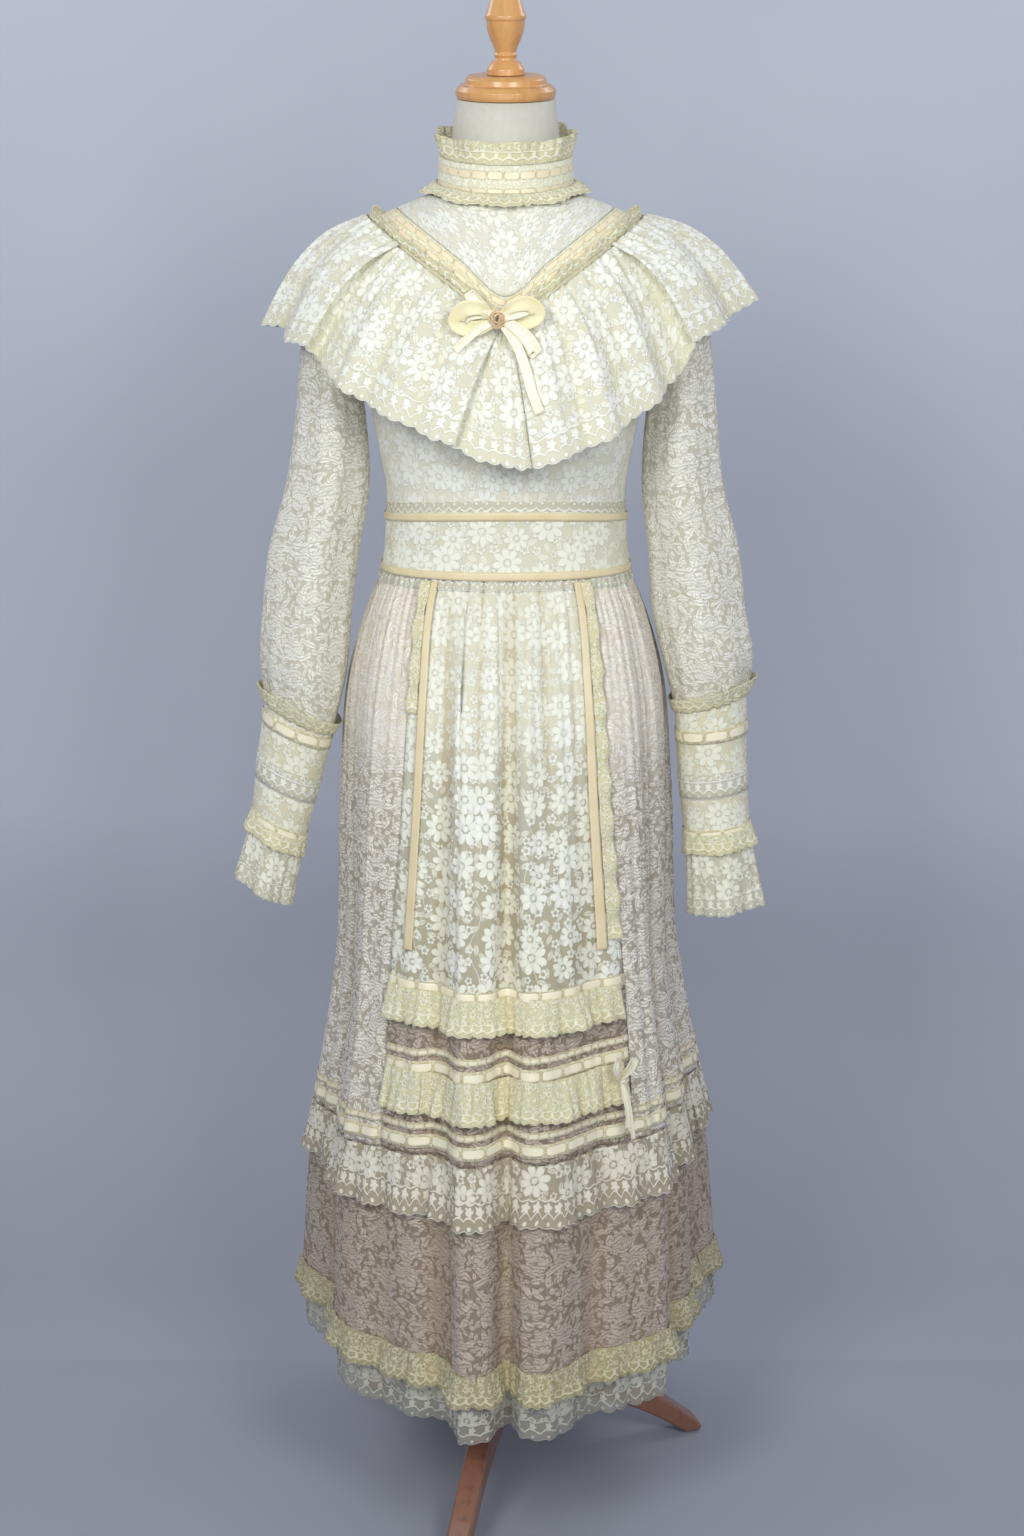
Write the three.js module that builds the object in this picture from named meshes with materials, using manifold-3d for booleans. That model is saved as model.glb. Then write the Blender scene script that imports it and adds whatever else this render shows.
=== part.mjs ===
// Lace dress with a shoulder cape, worn on a limbless linen dress form with a tripod stand.
// Units are millimetres. +Z is up and the front of the dress faces -Y.
// Every piece of cloth is a closed wall: an outer grid of points, the same grid moved inward,
// and rims that join the two.

import * as THREE from 'three';
import Module from 'manifold-3d';

const wasm = await Module();
wasm.setup();

// ---------------------------------------------------------------- driving sizes
const LACE = 1.2; // thickness of lace, which stands for lace with its gathers
const SATIN = 1.1; // thickness of ribbon and sash
const SEAM = 0.35; // space left at every seam
const WAIST_Z = 1091; // height of the waist seam
const TIER_Z = 482; // seam between upper skirt and bottom tier
const APRON_Z = 640; // seam at the bottom of the flowered front panel
const HEM_Z = 240; // lower edge of the bottom tier
const PETTICOAT_Z = 182; // lower edge of the petticoat
const FORM_BASE_Z = 862; // underside of the dress form
const NECK_TOP_Z = 1540; // top of the linen neck
const HUB_Z = 64; // underside of the tripod hub
const COLLAR_BASE_Z = 1451; // foot of the collar at the sides
const COLLAR_SLOPE = 0.2; // rise of the collar towards the back, per millimetre
const COLUMNS = 64; // columns of points round the skirt
const BODY_COLUMNS = 14; // columns of points across the front or the back of the bodice
const PANEL_COLUMNS = 14; // skirt columns taken by the front panel

// Half widths and depths of the bodice, belt to neck.
const bodyRings = [
  { z: 840, side: 158, front: 108, back: 116, power: 2.2 },
  { z: 940, side: 152, front: 106, back: 112, power: 2.2 },
  { z: 1010, side: 139, front: 98, back: 96, power: 2.2 },
  { z: 1058, side: 128, front: 94, back: 82, power: 2.2 },
  { z: 1091, side: 124, front: 92, back: 79, power: 2.2 },
  { z: 1122, side: 123.5, front: 94, back: 80, power: 2.2 },
  { z: 1150, side: 126, front: 100, back: 83, power: 2.3 },
  { z: 1190, side: 134, front: 110, back: 87, power: 2.3 },
  { z: 1235, side: 142, front: 121, back: 90, power: 2.4 },
  { z: 1280, side: 149, front: 120, back: 93, power: 2.4 },
  { z: 1325, side: 156, front: 112, back: 94, power: 2.4 },
  { z: 1365, side: 162, front: 100, back: 92, power: 2.4 },
  { z: 1390, side: 162, front: 91, back: 88, power: 2.3 },
  { z: 1408, side: 155, front: 84, back: 83, power: 2.2 },
  { z: 1420, side: 139, front: 79, back: 79, power: 2.1 },
  { z: 1432, side: 114, front: 72, back: 76, power: 2.0 },
  { z: 1441, side: 91, front: 66, back: 74, power: 2.0 },
  { z: 1447, side: 77, front: 62, back: 71.5, power: 2.0 },
  { z: 1451, side: 70, front: 60, back: 70, power: 2.0 },
  { z: 1458, side: 62, front: 56, back: 66.5, power: 2.0 },
  { z: 1470, side: 57, front: 52, back: 60, power: 2.0 },
];

// Half widths and depths of the skirt between its folds.
const skirtRings = [
  { z: 1091, side: 124.4, front: 92.4, back: 79.4, power: 2.2 },
  { z: 1058, side: 129, front: 95.5, back: 83.5, power: 2.2 },
  { z: 1035, side: 139, front: 110, back: 102, power: 2.2 },
  { z: 1000, side: 150, front: 128, back: 120, power: 2.2 },
  { z: 960, side: 161, front: 144, back: 138, power: 2.2 },
  { z: 916, side: 169, front: 155, back: 151, power: 2.2 },
  { z: 850, side: 171, front: 168, back: 162, power: 2.2 },
  { z: 750, side: 172, front: 186, back: 174, power: 2.2 },
  { z: 640, side: 175, front: 206, back: 187, power: 2.1 },
  { z: 572, side: 181, front: 218, back: 196, power: 2.1 },
  { z: 482, side: 197, front: 234, back: 209, power: 2.05 },
  { z: 440, side: 202, front: 240, back: 214, power: 2.0 },
  { z: 300, side: 210, front: 256, back: 228, power: 2.0 },
  { z: 150, side: 216, front: 264, back: 238, power: 2.0 },
];

// Large folds of the skirt: where each falls, how wide it is and how far it stands out or in.
const skirtFolds = [
  { angle: -90, width: 9, depth: 24 },
  { angle: -73, width: 7, depth: -13 },
  { angle: -54, width: 8, depth: 8 },
  { angle: -38, width: 6, depth: -8 },
  { angle: -21, width: 6, depth: -17 },
  { angle: -9, width: 6, depth: 26 },
  { angle: 0, width: 4, depth: -28 },
  { angle: 9, width: 8, depth: 15 },
  { angle: 27, width: 6, depth: -15 },
  { angle: 50, width: 7, depth: 13 },
  { angle: 61, width: 5, depth: -13 },
  { angle: 70, width: 5, depth: 9 },
  { angle: 82, width: 6, depth: -11 },
  { angle: 102, width: 10, depth: 38 },
  { angle: 119, width: 8, depth: -16 },
  { angle: 135, width: 9, depth: 14 },
  { angle: 151, width: 8, depth: -15 },
  { angle: 169, width: 9, depth: 15 },
  { angle: 186, width: 8, depth: -16 },
  { angle: 203, width: 9, depth: 15 },
  { angle: 220, width: 8, depth: -14 },
  { angle: 236, width: 9, depth: 12 },
  { angle: 253, width: 7, depth: -13 },
];

// How the front panel narrows below the belt and spreads towards the apron hem.
const panelSpread = [
  { z: 1050, scale: 1.0 },
  { z: 913, scale: 0.87 },
  { z: 845, scale: 0.93 },
  { z: 736, scale: 1.02 },
  { z: 640, scale: 1.12 },
  { z: 482, scale: 1.08 },
  { z: 240, scale: 1.0 },
];

// Trim lines of the yoke: from the point of the V to the top of the shoulder.
const yokeLines = {
  frontInner: { apex: [0, 1346], shoulder: [112, 1432.6] },
  frontOuter: { apex: [0, 1314], shoulder: [141, 1418.7] },
  backInner: { apex: [0, 1372], shoulder: [112, 1432.6] },
  backOuter: { apex: [0, 1344], shoulder: [141, 1418.7] },
};

// ---------------------------------------------------------------- small helpers
const TURN = Math.PI / 180;
const root = new THREE.Group();
root.name = 'lace_dress';

function lerp(a, b, t) {
  return a + (b - a) * t;
}

// Reads a table of rows ordered by one column, blending between neighbouring rows.
function readTable(rows, key, at) {
  const rising = rows[rows.length - 1][key] > rows[0][key];
  const ordered = rising ? rows : [...rows].reverse();
  if (at <= ordered[0][key]) return { ...ordered[0] };
  for (let i = 1; i < ordered.length; i += 1) {
    const low = ordered[i - 1];
    const high = ordered[i];
    if (at > high[key]) continue;
    const t = (at - low[key]) / (high[key] - low[key]);
    const mixed = {};
    for (const name of Object.keys(low)) mixed[name] = lerp(low[name], high[name], t);
    return mixed;
  }
  return { ...ordered[ordered.length - 1] };
}

function material(colour, roughness) {
  return new THREE.MeshStandardMaterial({ color: colour, roughness, metalness: 0 });
}

const colours = {
  bodice: [0xf1ead2, 0.85],
  rose: [0xe4d3bf, 0.87],
  trim: [0xeee9bd, 0.82],
  cape: [0xf4efd6, 0.85],
  satin: [0xd9bb84, 0.35],
  cuff: [0xeee4c6, 0.84],
  sheer: [0xefece0, 0.88],
  lining: [0xb9a67e, 0.9],
  linen: [0xd8cfbf, 0.92],
  paleWood: [0xd9a468, 0.45],
  redWood: [0x9c5a36, 0.45],
};

function addMesh(name, geometry, colour) {
  const mesh = new THREE.Mesh(geometry, material(colour[0], colour[1]));
  mesh.name = name;
  root.add(mesh);
  return mesh;
}

// ---------------------------------------------------------------- walls
// A grid is an array of rows; every row holds the same number of points.
function gridOf(rowCount, columnCount, pointAt) {
  const grid = [];
  for (let r = 0; r <= rowCount; r += 1) {
    const row = [];
    for (let c = 0; c <= columnCount; c += 1) row.push(pointAt(c / columnCount, r / rowCount));
    grid.push(row);
  }
  return grid;
}

// Normals of a grid; closed grids repeat their first column as the last.
function gridNormals(grid, closed, centreAt) {
  const last = grid[0].length - 1;
  const normals = grid.map((row, r) => row.map((point, c) => {
    let left = c - 1;
    let right = c + 1;
    if (closed && c === 0) left = last - 1;
    if (closed && c === last) right = 1;
    const across = row[Math.min(right, last)].clone().sub(row[Math.max(left, 0)]);
    const below = grid[Math.min(r + 1, grid.length - 1)][c];
    const above = grid[Math.max(r - 1, 0)][c];
    return across.cross(below.clone().sub(above)).normalize();
  }));
  let facing = 0;
  grid.forEach((row, r) => row.forEach((point, c) => {
    facing += normals[r][c].dot(point.clone().sub(centreAt(point)).normalize());
  }));
  if (facing < 0) normals.forEach((row) => row.forEach((normal) => normal.negate()));
  return normals;
}

const axisCentre = (point) => new THREE.Vector3(0, 0, point.z);

// Turns a grid into a closed wall whose outer face is the grid itself.
function wallGeometry(grid, normals, thickness, closed) {
  const rows = grid.length;
  const columns = closed ? grid[0].length - 1 : grid[0].length;
  const positions = [];
  for (let side = 0; side < 2; side += 1) {
    for (let r = 0; r < rows; r += 1) {
      for (let c = 0; c < columns; c += 1) {
        const point = grid[r][c].clone().addScaledVector(normals[r][c], -thickness * side);
        positions.push(point.x, point.y, point.z);
      }
    }
  }
  const faces = [];
  const at = (side, r, c) => side * rows * columns + r * columns + (c % columns);
  const quad = (a, b, c, d) => faces.push(a, b, c, a, c, d);
  const spans = closed ? columns : columns - 1;
  for (let r = 0; r < rows - 1; r += 1) {
    for (let c = 0; c < spans; c += 1) {
      quad(at(0, r, c), at(0, r, c + 1), at(0, r + 1, c + 1), at(0, r + 1, c));
      quad(at(1, r, c), at(1, r + 1, c), at(1, r + 1, c + 1), at(1, r, c + 1));
    }
  }
  for (let c = 0; c < spans; c += 1) {
    quad(at(0, 0, c), at(1, 0, c), at(1, 0, c + 1), at(0, 0, c + 1));
    quad(at(0, rows - 1, c), at(0, rows - 1, c + 1), at(1, rows - 1, c + 1), at(1, rows - 1, c));
  }
  if (!closed) {
    const end = columns - 1;
    for (let r = 0; r < rows - 1; r += 1) {
      quad(at(0, r, 0), at(0, r + 1, 0), at(1, r + 1, 0), at(1, r, 0));
      quad(at(0, r, end), at(1, r, end), at(1, r + 1, end), at(0, r + 1, end));
    }
  }
  return closedGeometry(positions, faces);
}

function signedVolume(positions, faces) {
  let volume = 0;
  const corner = (i) => new THREE.Vector3().fromArray(positions, i * 3);
  for (let f = 0; f < faces.length; f += 3) {
    volume += corner(faces[f]).dot(corner(faces[f + 1]).cross(corner(faces[f + 2]))) / 6;
  }
  return volume;
}

// Makes an indexed geometry whose faces all look outward.
function closedGeometry(positions, faces) {
  const turned = [...faces];
  if (signedVolume(positions, faces) < 0) {
    for (let f = 0; f < turned.length; f += 3) {
      [turned[f + 1], turned[f + 2]] = [turned[f + 2], turned[f + 1]];
    }
  }
  const geometry = new THREE.BufferGeometry();
  geometry.setAttribute('position', new THREE.Float32BufferAttribute(positions, 3));
  geometry.setIndex(turned);
  geometry.computeVertexNormals();
  return geometry;
}

function toManifold(geometry) {
  const vertProperties = Float32Array.from(geometry.getAttribute('position').array);
  const triVerts = Uint32Array.from(geometry.index.array);
  return new wasm.Manifold(new wasm.Mesh({ numProp: 3, vertProperties, triVerts }));
}

function fromManifold(solid) {
  const mesh = solid.getMesh();
  const geometry = new THREE.BufferGeometry();
  const positions = new THREE.Float32BufferAttribute(mesh.vertProperties, 3);
  geometry.setAttribute('position', positions);
  geometry.setIndex([...mesh.triVerts]);
  geometry.computeVertexNormals();
  return geometry;
}

// A sheet keeps its grid and normals so that trims can be laid on it.
function makeSheet(grid, { closed = false, centreAt = axisCentre } = {}) {
  return { grid, closed, normals: gridNormals(grid, closed, centreAt) };
}

// Drops the spare column on each side of a sheet, then opens the seams there.
function cropSheet(sheet) {
  const crop = (field) => field.map((row) => row.slice(1, -1));
  return trimSides({ grid: crop(sheet.grid), normals: crop(sheet.normals), closed: false });
}

// Moves the two side edges of a panel inward along its own surface, to leave the seam.
function trimSides(sheet) {
  for (const row of sheet.grid) {
    const last = row.length - 1;
    for (const [end, next] of [[0, 1], [last, last - 1]]) {
      const away = row[next].clone().sub(row[end]).normalize();
      row[end].addScaledVector(away, SEAM / 2);
    }
  }
  return sheet;
}

function addSheet(name, sheet, thickness, colour) {
  const geometry = wallGeometry(sheet.grid, sheet.normals, thickness, sheet.closed);
  addMesh(name, geometry, colour);
  return sheet;
}

// A point on a sheet's facets, moved out along its normal; rows past the edge go straight on.
function onSheet(sheet, columnAt, rowAt, out) {
  const lastColumn = sheet.grid[0].length - 1;
  const lastRow = sheet.grid.length - 1;
  const c0 = Math.max(0, Math.min(Math.floor(columnAt), lastColumn - 1));
  const r0 = Math.max(0, Math.min(Math.floor(rowAt), lastRow - 1));
  const across = columnAt - c0;
  const down = rowAt - r0;
  const blend = (field) => {
    const upper = field[r0][c0].clone().lerp(field[r0][c0 + 1], across);
    const lower = field[r0 + 1][c0].clone().lerp(field[r0 + 1][c0 + 1], across);
    return upper.addScaledVector(lower.sub(upper), down);
  };
  return blend(sheet.grid).addScaledVector(blend(sheet.normals).normalize(), out);
}

// ---------------------------------------------------------------- body and skirt forms
function ringPoint(ring, angle, out) {
  const sine = Math.sin(angle * TURN);
  const cosine = Math.cos(angle * TURN);
  const curve = 2 / ring.power;
  const x = ring.side * Math.sign(sine) * Math.abs(sine) ** curve;
  const depth = cosine > 0 ? ring.front : ring.back;
  const y = -depth * Math.sign(cosine) * Math.abs(cosine) ** curve;
  const outward = new THREE.Vector3(x / ring.side ** 2, y / depth ** 2, 0).normalize();
  return new THREE.Vector3(x, y, ring.z).addScaledVector(outward, out);
}

function bodySkin(angle, z) {
  const ring = readTable(bodyRings, 'z', z);
  ring.z = z;
  return ringPoint(ring, angle, 0);
}

// A point on the bodice, moved out square to its surface.
function bodyPoint(angle, z, out = 0) {
  const point = bodySkin(angle, z);
  if (out === 0) return point;
  const across = bodySkin(angle + 1, z).sub(bodySkin(angle - 1, z));
  const upward = bodySkin(angle, z + 1.5).sub(bodySkin(angle, z - 1.5));
  return point.addScaledVector(across.cross(upward).normalize(), out);
}

// Folds deepen from the belt to the hem.
function foldDepth(angle, z) {
  const growth = Math.max(0, (1058 - z) / (1058 - HEM_Z)) ** 0.95;
  let depth = 0;
  for (const fold of skirtFolds) {
    let away = angle - fold.angle;
    away -= 360 * Math.round(away / 360);
    depth += fold.depth * Math.exp(-((away / fold.width) ** 2));
  }
  return depth * growth;
}

function spreadAngle(angle, z) {
  const half = (PANEL_COLUMNS / COLUMNS) * 180;
  const turned = angle - 360 * Math.round(angle / 360);
  const size = Math.abs(turned);
  const { scale } = readTable(panelSpread, 'z', z);
  if (size <= half) return turned * scale;
  if (size >= 90) return turned;
  return Math.sign(turned) * lerp(half * scale, 90, (size - half) / (90 - half));
}

// The tier seam hangs lower on the left of the skirt than on the right.
function tierDroop(angle, z) {
  const left = Math.max(0, -Math.sin(angle * TURN)) ** 2;
  const near = z > TIER_Z ? (APRON_Z - z) / (APRON_Z - TIER_Z) : (z - 300) / (TIER_Z - 300);
  return 24 * left * Math.max(0, near);
}

function skirtPoint(angle, z, out = 0, foldShare = 1) {
  const height = z - tierDroop(angle, z);
  const ring = readTable(skirtRings, 'z', height);
  ring.z = height;
  return ringPoint(ring, spreadAngle(angle, z), out + foldShare * foldDepth(angle, z));
}

// ---------------------------------------------------------------- stand and form
function addLathe(name, profile, segments, colour, place = (geometry) => geometry) {
  const points = profile.map(([radius, height]) => new THREE.Vector2(radius, height));
  const geometry = new THREE.LatheGeometry(points, segments);
  geometry.rotateX(Math.PI / 2);
  addMesh(name, place(geometry), colour);
}

const capTilt = 9 * TURN;

// Puts a turned part on the sloping cut at the top of the neck.
function onNeckCut(geometry) {
  geometry.rotateX(capTilt);
  geometry.translate(0, 0, NECK_TOP_Z);
  return geometry;
}

// Heights of the bodice, trim and yoke rows at one angle, from the waist to the neck.
const bodiceSteps = [0, 0.2, 0.4, 0.6, 0.8, 0.93, 1];
const yokeSteps = [0, 0.4, 0.75, 1];

function bodyLevels(angle, back) {
  const side = back ? 'back' : 'front';
  const outer = lineHeight(yokeLines[`${side}Outer`], angle);
  const inner = lineHeight(yokeLines[`${side}Inner`], angle);
  const neck = neckEdge(angle, back);
  const bodice = bodiceSteps.map((step) => lerp(WAIST_Z + SEAM, outer, step));
  return [...bodice, ...yokeSteps.map((step) => lerp(inner, neck, step))];
}

// The linen form lies under the bodice, facet for facet, and ends in a sloping neck.
function addForm() {
  const armPlate = 143;
  const inset = -(LACE + 0.5);
  const hips = [FORM_BASE_Z, 960, 1058];
  const neckRings = [
    { z: 1451, side: 60.5, front: 57.5, back: 58, power: 2 },
    { z: 1484, side: 56.5, front: 55, back: 52, power: 2 },
    { z: NECK_TOP_Z - 1, side: 50.5, front: 50, back: 48, power: 2 },
  ];
  const columns = BODY_COLUMNS * 2;
  const byColumn = [];
  for (let c = 0; c <= columns; c += 1) {
    const turned = (360 * (c % columns)) / columns;
    const back = turned > 90 && turned < 270;
    const fromFront = turned > 180 ? turned - 360 : turned;
    const fromBack = 180 - turned;
    const levels = [...hips, ...bodyLevels(back ? fromBack : fromFront, back)];
    byColumn.push(levels.map((z) => bodySkin(turned, z)));
  }
  const skin = makeSheet(byColumn[0].map((_, r) => byColumn.map((column) => column[r])),
    { closed: true });
  const rowPoints = skin.grid.map((row, r) => row.slice(0, columns).map((point, c) => {
    const under = r < hips.length ? inset - 1.6 : inset;
    const moved = point.clone().addScaledVector(skin.normals[r][c], under);
    moved.x = Math.max(-armPlate, Math.min(armPlate, moved.x));
    return moved;
  }));
  for (const ring of neckRings) {
    const row = [];
    for (let c = 0; c < columns; c += 1) {
      const point = ringPoint(ring, (360 * c) / columns, 0);
      const rise = (ring.z - neckRings[0].z) / (NECK_TOP_Z - neckRings[0].z);
      point.z += point.y * lerp(COLLAR_SLOPE, Math.tan(capTilt), rise);
      row.push(point);
    }
    rowPoints.push(row);
  }
  const positions = [];
  const faces = [];
  for (const row of rowPoints) for (const p of row) positions.push(p.x, p.y, p.z);
  const at = (r, c) => r * columns + (c % columns);
  for (let r = 0; r < rowPoints.length - 1; r += 1) {
    for (let c = 0; c < columns; c += 1) {
      faces.push(at(r, c), at(r, c + 1), at(r + 1, c + 1));
      faces.push(at(r, c), at(r + 1, c + 1), at(r + 1, c));
    }
  }
  const lastRow = rowPoints.length - 1;
  const bottom = positions.length / 3;
  positions.push(0, 0, FORM_BASE_Z);
  positions.push(0, 0, NECK_TOP_Z - 1);
  for (let c = 0; c < columns; c += 1) {
    faces.push(bottom, at(0, c + 1), at(0, c));
    faces.push(bottom + 1, at(lastRow, c), at(lastRow, c + 1));
  }
  addMesh('form_torso', closedGeometry(positions, faces), colours.linen);
}

function addStand() {
  const capProfile = [[0, 0], [49.5, 0], [51, 3], [51, 8], [47, 12.5], [42, 13.5], [41, 19],
    [37.5, 22], [0, 22]];
  addLathe('neck_cap', capProfile, 18, colours.paleWood, onNeckCut);
  const finialProfile = [[0, 22.4], [19.5, 22.4], [19, 28], [15, 34], [11, 36.5], [10.5, 39],
    [12, 41.5], [10.5, 44], [11.5, 47], [15, 55], [18.5, 64], [19.5, 74], [20.8, 76],
    [20.8, 79], [19, 82], [16, 92], [9, 105], [10, 112], [0, 118]];
  addLathe('finial', finialProfile, 12, colours.paleWood, onNeckCut);
  const poleProfile = [[0, HUB_Z + 82], [13, HUB_Z + 82], [13, FORM_BASE_Z - 0.4],
    [0, FORM_BASE_Z - 0.4]];
  addLathe('pole', poleProfile, 12, colours.redWood);
  const hubProfile = [[0, HUB_Z], [20, HUB_Z], [25, HUB_Z + 6], [25, HUB_Z + 50],
    [20, HUB_Z + 58], [24, HUB_Z + 66], [18, HUB_Z + 81.6], [0, HUB_Z + 81.6]];
  addLathe('hub', hubProfile, 12, colours.redWood);
  const legAngles = { leg_front: -104, leg_right: 16, leg_back: 136 };
  for (const [name, angle] of Object.entries(legAngles)) addLeg(name, angle);
}

// A tripod leg sawn from board: arched side outline, bevelled edges.
function addLeg(name, angle) {
  const start = 24.75;
  const outline = new THREE.Shape();
  outline.moveTo(start, HUB_Z + 12);
  outline.lineTo(start, HUB_Z + 48);
  outline.quadraticCurveTo(90, HUB_Z + 50, 145, 82);
  outline.quadraticCurveTo(196, 50, 226, 22);
  outline.quadraticCurveTo(240, 12, 243, 4);
  outline.lineTo(240, 0);
  outline.lineTo(222, 0);
  outline.quadraticCurveTo(190, 26, 140, 52);
  outline.quadraticCurveTo(85, 76, start, HUB_Z + 12);
  const bevel = 2.5;
  const width = 26;
  const geometry = new THREE.ExtrudeGeometry(outline, {
    depth: width - 2 * bevel,
    bevelEnabled: true,
    bevelThickness: bevel,
    bevelSize: bevel,
    bevelOffset: -bevel,
    bevelSegments: 1,
    curveSegments: 3,
  });
  geometry.translate(0, 0, -(width - 2 * bevel) / 2);
  geometry.rotateX(Math.PI / 2);
  geometry.rotateZ(angle * TURN);
  addMesh(name, geometry, colours.redWood);
}

// ---------------------------------------------------------------- bodice
// Height of a yoke line at an angle round the body.
function lineHeight(line, angle) {
  const wanted = Math.abs(angle);
  let low = 0;
  let high = 1;
  for (let step = 0; step < 30; step += 1) {
    const t = (low + high) / 2;
    if (lineAngle(line, t) < wanted) low = t;
    else high = t;
  }
  return lerp(line.apex[1], line.shoulder[1], (low + high) / 2);
}

function lineAngle(line, t) {
  const x = lerp(line.apex[0], line.shoulder[0], t);
  const z = lerp(line.apex[1], line.shoulder[1], t);
  const ring = readTable(bodyRings, 'z', z);
  const sine = Math.min(1, Math.max(0, x / ring.side) ** (ring.power / 2));
  return Math.asin(sine) / TURN;
}

// Angles run from -90 to 90 over the front, and the same way over the back.
function bodySheet(steps, lowAt, highAt, back) {
  const grid = steps.map((step) => {
    const row = [];
    for (let c = -1; c <= BODY_COLUMNS + 1; c += 1) {
      const turned = lerp(-90, 90, c / BODY_COLUMNS);
      const angle = back ? -turned : turned;
      const z = lerp(lowAt(angle), highAt(angle), step);
      row.push(bodySkin(back ? 180 + turned : turned, z));
    }
    return row;
  });
  return cropSheet(makeSheet(grid));
}

// The yoke ends where the collar stands; its edge slopes down to the front.
function neckEdge(angle, back) {
  let z = COLLAR_BASE_Z;
  for (let step = 0; step < 12; step += 1) {
    const point = bodySkin(back ? 180 - angle : angle, z);
    z = COLLAR_BASE_Z - 1 + COLLAR_SLOPE * point.y;
  }
  return z;
}

function addBodice() {
  const armhole = armholeCutter();
  for (const back of [false, true]) {
    const side = back ? 'back' : 'front';
    const inner = yokeLines[`${side}Inner`];
    const outer = yokeLines[`${side}Outer`];
    const innerAt = (angle) => lineHeight(inner, angle);
    const outerAt = (angle) => lineHeight(outer, angle);
    const bottom = () => WAIST_Z + SEAM;
    const bodice = bodySheet(bodiceSteps, bottom, outerAt, back);
    const wall = toManifold(wallGeometry(bodice.grid, bodice.normals, LACE, false));
    addMesh(`bodice_${side}`, fromManifold(wall.subtract(armhole)), colours.bodice);
    const yoke = bodySheet(yokeSteps, (angle) => innerAt(angle) + SEAM, (angle) => neckEdge(angle, back),
      back);
    addSheet(`yoke_${side}`, yoke, LACE, colours.bodice);
    const band = bodySheet([0, 1], (angle) => outerAt(angle) + 2 * SEAM, innerAt, back);
    addSheet(`yoke_trim_${side}`, band, LACE, colours.trim);
  }
}

// Both armholes at once: an oval bar along X, left out in the middle of the body.
function armholeCutter() {
  const parts = [-1, 1].map((side) => {
    const bar = new THREE.CylinderGeometry(1, 1, 60, 20);
    bar.rotateZ(Math.PI / 2);
    bar.scale(1, ARMHOLE.depth + SEAM, ARMHOLE.height + SEAM);
    bar.translate(side * 165, ARMHOLE.y, ARMHOLE.z);
    return toManifold(weld(bar));
  });
  return parts[0].add(parts[1]);
}

// Joins points that repeat, so that the surface closes along its seams.
function weld(geometry) {
  const source = geometry.getAttribute('position');
  const index = geometry.index ? [...geometry.index.array] : [...Array(source.count).keys()];
  const found = new Map();
  const positions = [];
  const faces = [];
  const keep = (i) => {
    const values = [source.getX(i), source.getY(i), source.getZ(i)];
    const key = values.map((value) => Math.round(value * 1e4)).join();
    if (!found.has(key)) {
      found.set(key, positions.length / 3);
      positions.push(...values);
    }
    return found.get(key);
  };
  for (let f = 0; f < index.length; f += 3) {
    const corners = [keep(index[f]), keep(index[f + 1]), keep(index[f + 2])];
    if (new Set(corners).size === 3) faces.push(...corners);
  }
  return closedGeometry(positions, faces);
}

const ARMHOLE = { y: 0, z: 1341, height: 61, depth: 45 };

// ---------------------------------------------------------------- ruffles
const UNEVEN = [1, 0.78, 0.94, 0.7, 1.06, 0.84, 0.98, 0.74, 0.9];

// Height of a wave at a column: four columns to a wave, waves a little uneven.
function waveAt(position) {
  const column = Math.round(position);
  const inWave = ((column % 4) + 4) % 4;
  const strength = UNEVEN[Math.floor(column / 4 + 100) % UNEVEN.length];
  return [0.5, 1, 0.5, 0][inWave] * strength;
}

// ---------------------------------------------------------------- collar
function collarPoint(angle, height, out) {
  const ring = { side: 68.5, front: 67, back: 62, power: 2 };
  ring.z = 0;
  const point = ringPoint(ring, angle, out);
  point.z = COLLAR_BASE_Z + COLLAR_SLOPE * point.y + height;
  return point;
}

function addCollar() {
  const bandHeight = 34;
  const columns = 36;
  const band = makeSheet(gridOf(1, 28, (u, v) => (
    collarPoint(360 * u, lerp(0, bandHeight, v), LACE - 1.5 * v)
  )), { closed: true });
  addSheet('collar_band', band, LACE, colours.bodice);
  const topRuffle = makeSheet(gridOf(1, columns, (u, v) => {
    const wave = waveAt(u * columns);
    const out = LACE - 1.5 + 9 * v * wave - 1.2 * v;
    return collarPoint(360 * u, bandHeight + SEAM + v * (21 + 3 * wave), out);
  }), { closed: true });
  addSheet('collar_top_ruffle', topRuffle, LACE, colours.trim);
  const baseRuffle = makeSheet(gridOf(1, columns, (u, v) => {
    const wave = waveAt(u * columns + 1);
    const point = collarPoint(360 * u, 7, 2 * LACE + SEAM + v * (13 + 7 * wave));
    point.z -= 9 * v - 1;
    return liftClear(point, 360 * u, 2.6 + 2.5 * v * wave);
  }), { closed: true });
  addSheet('collar_base_ruffle', baseRuffle, LACE, colours.trim);
}

// Raises a point that would sink into the yoke beneath it.
function liftClear(point, angle, space) {
  const lifted = point.clone();
  for (let step = 0; step < 40; step += 1) {
    const skin = bodySkin(angle, Math.min(lifted.z - space, 1466));
    const reach = Math.hypot(lifted.x, lifted.y);
    if (reach > Math.hypot(skin.x, skin.y)) break;
    lifted.z += 1;
  }
  return lifted;
}

// ---------------------------------------------------------------- shoulder cape
// Where the cape's top edge meets a yoke line, by distance from the middle of the body.
function yokeLinePoint(x, back, out) {
  const line = back ? yokeLines.backOuter : yokeLines.frontOuter;
  const t = Math.min(1, Math.abs(x) / line.shoulder[0]);
  const angle = Math.sign(x || 1) * lineAngle(line, t);
  const z = lerp(line.apex[1], line.shoulder[1], t);
  return bodyPoint(back ? 180 - angle : angle, z, out);
}

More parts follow.
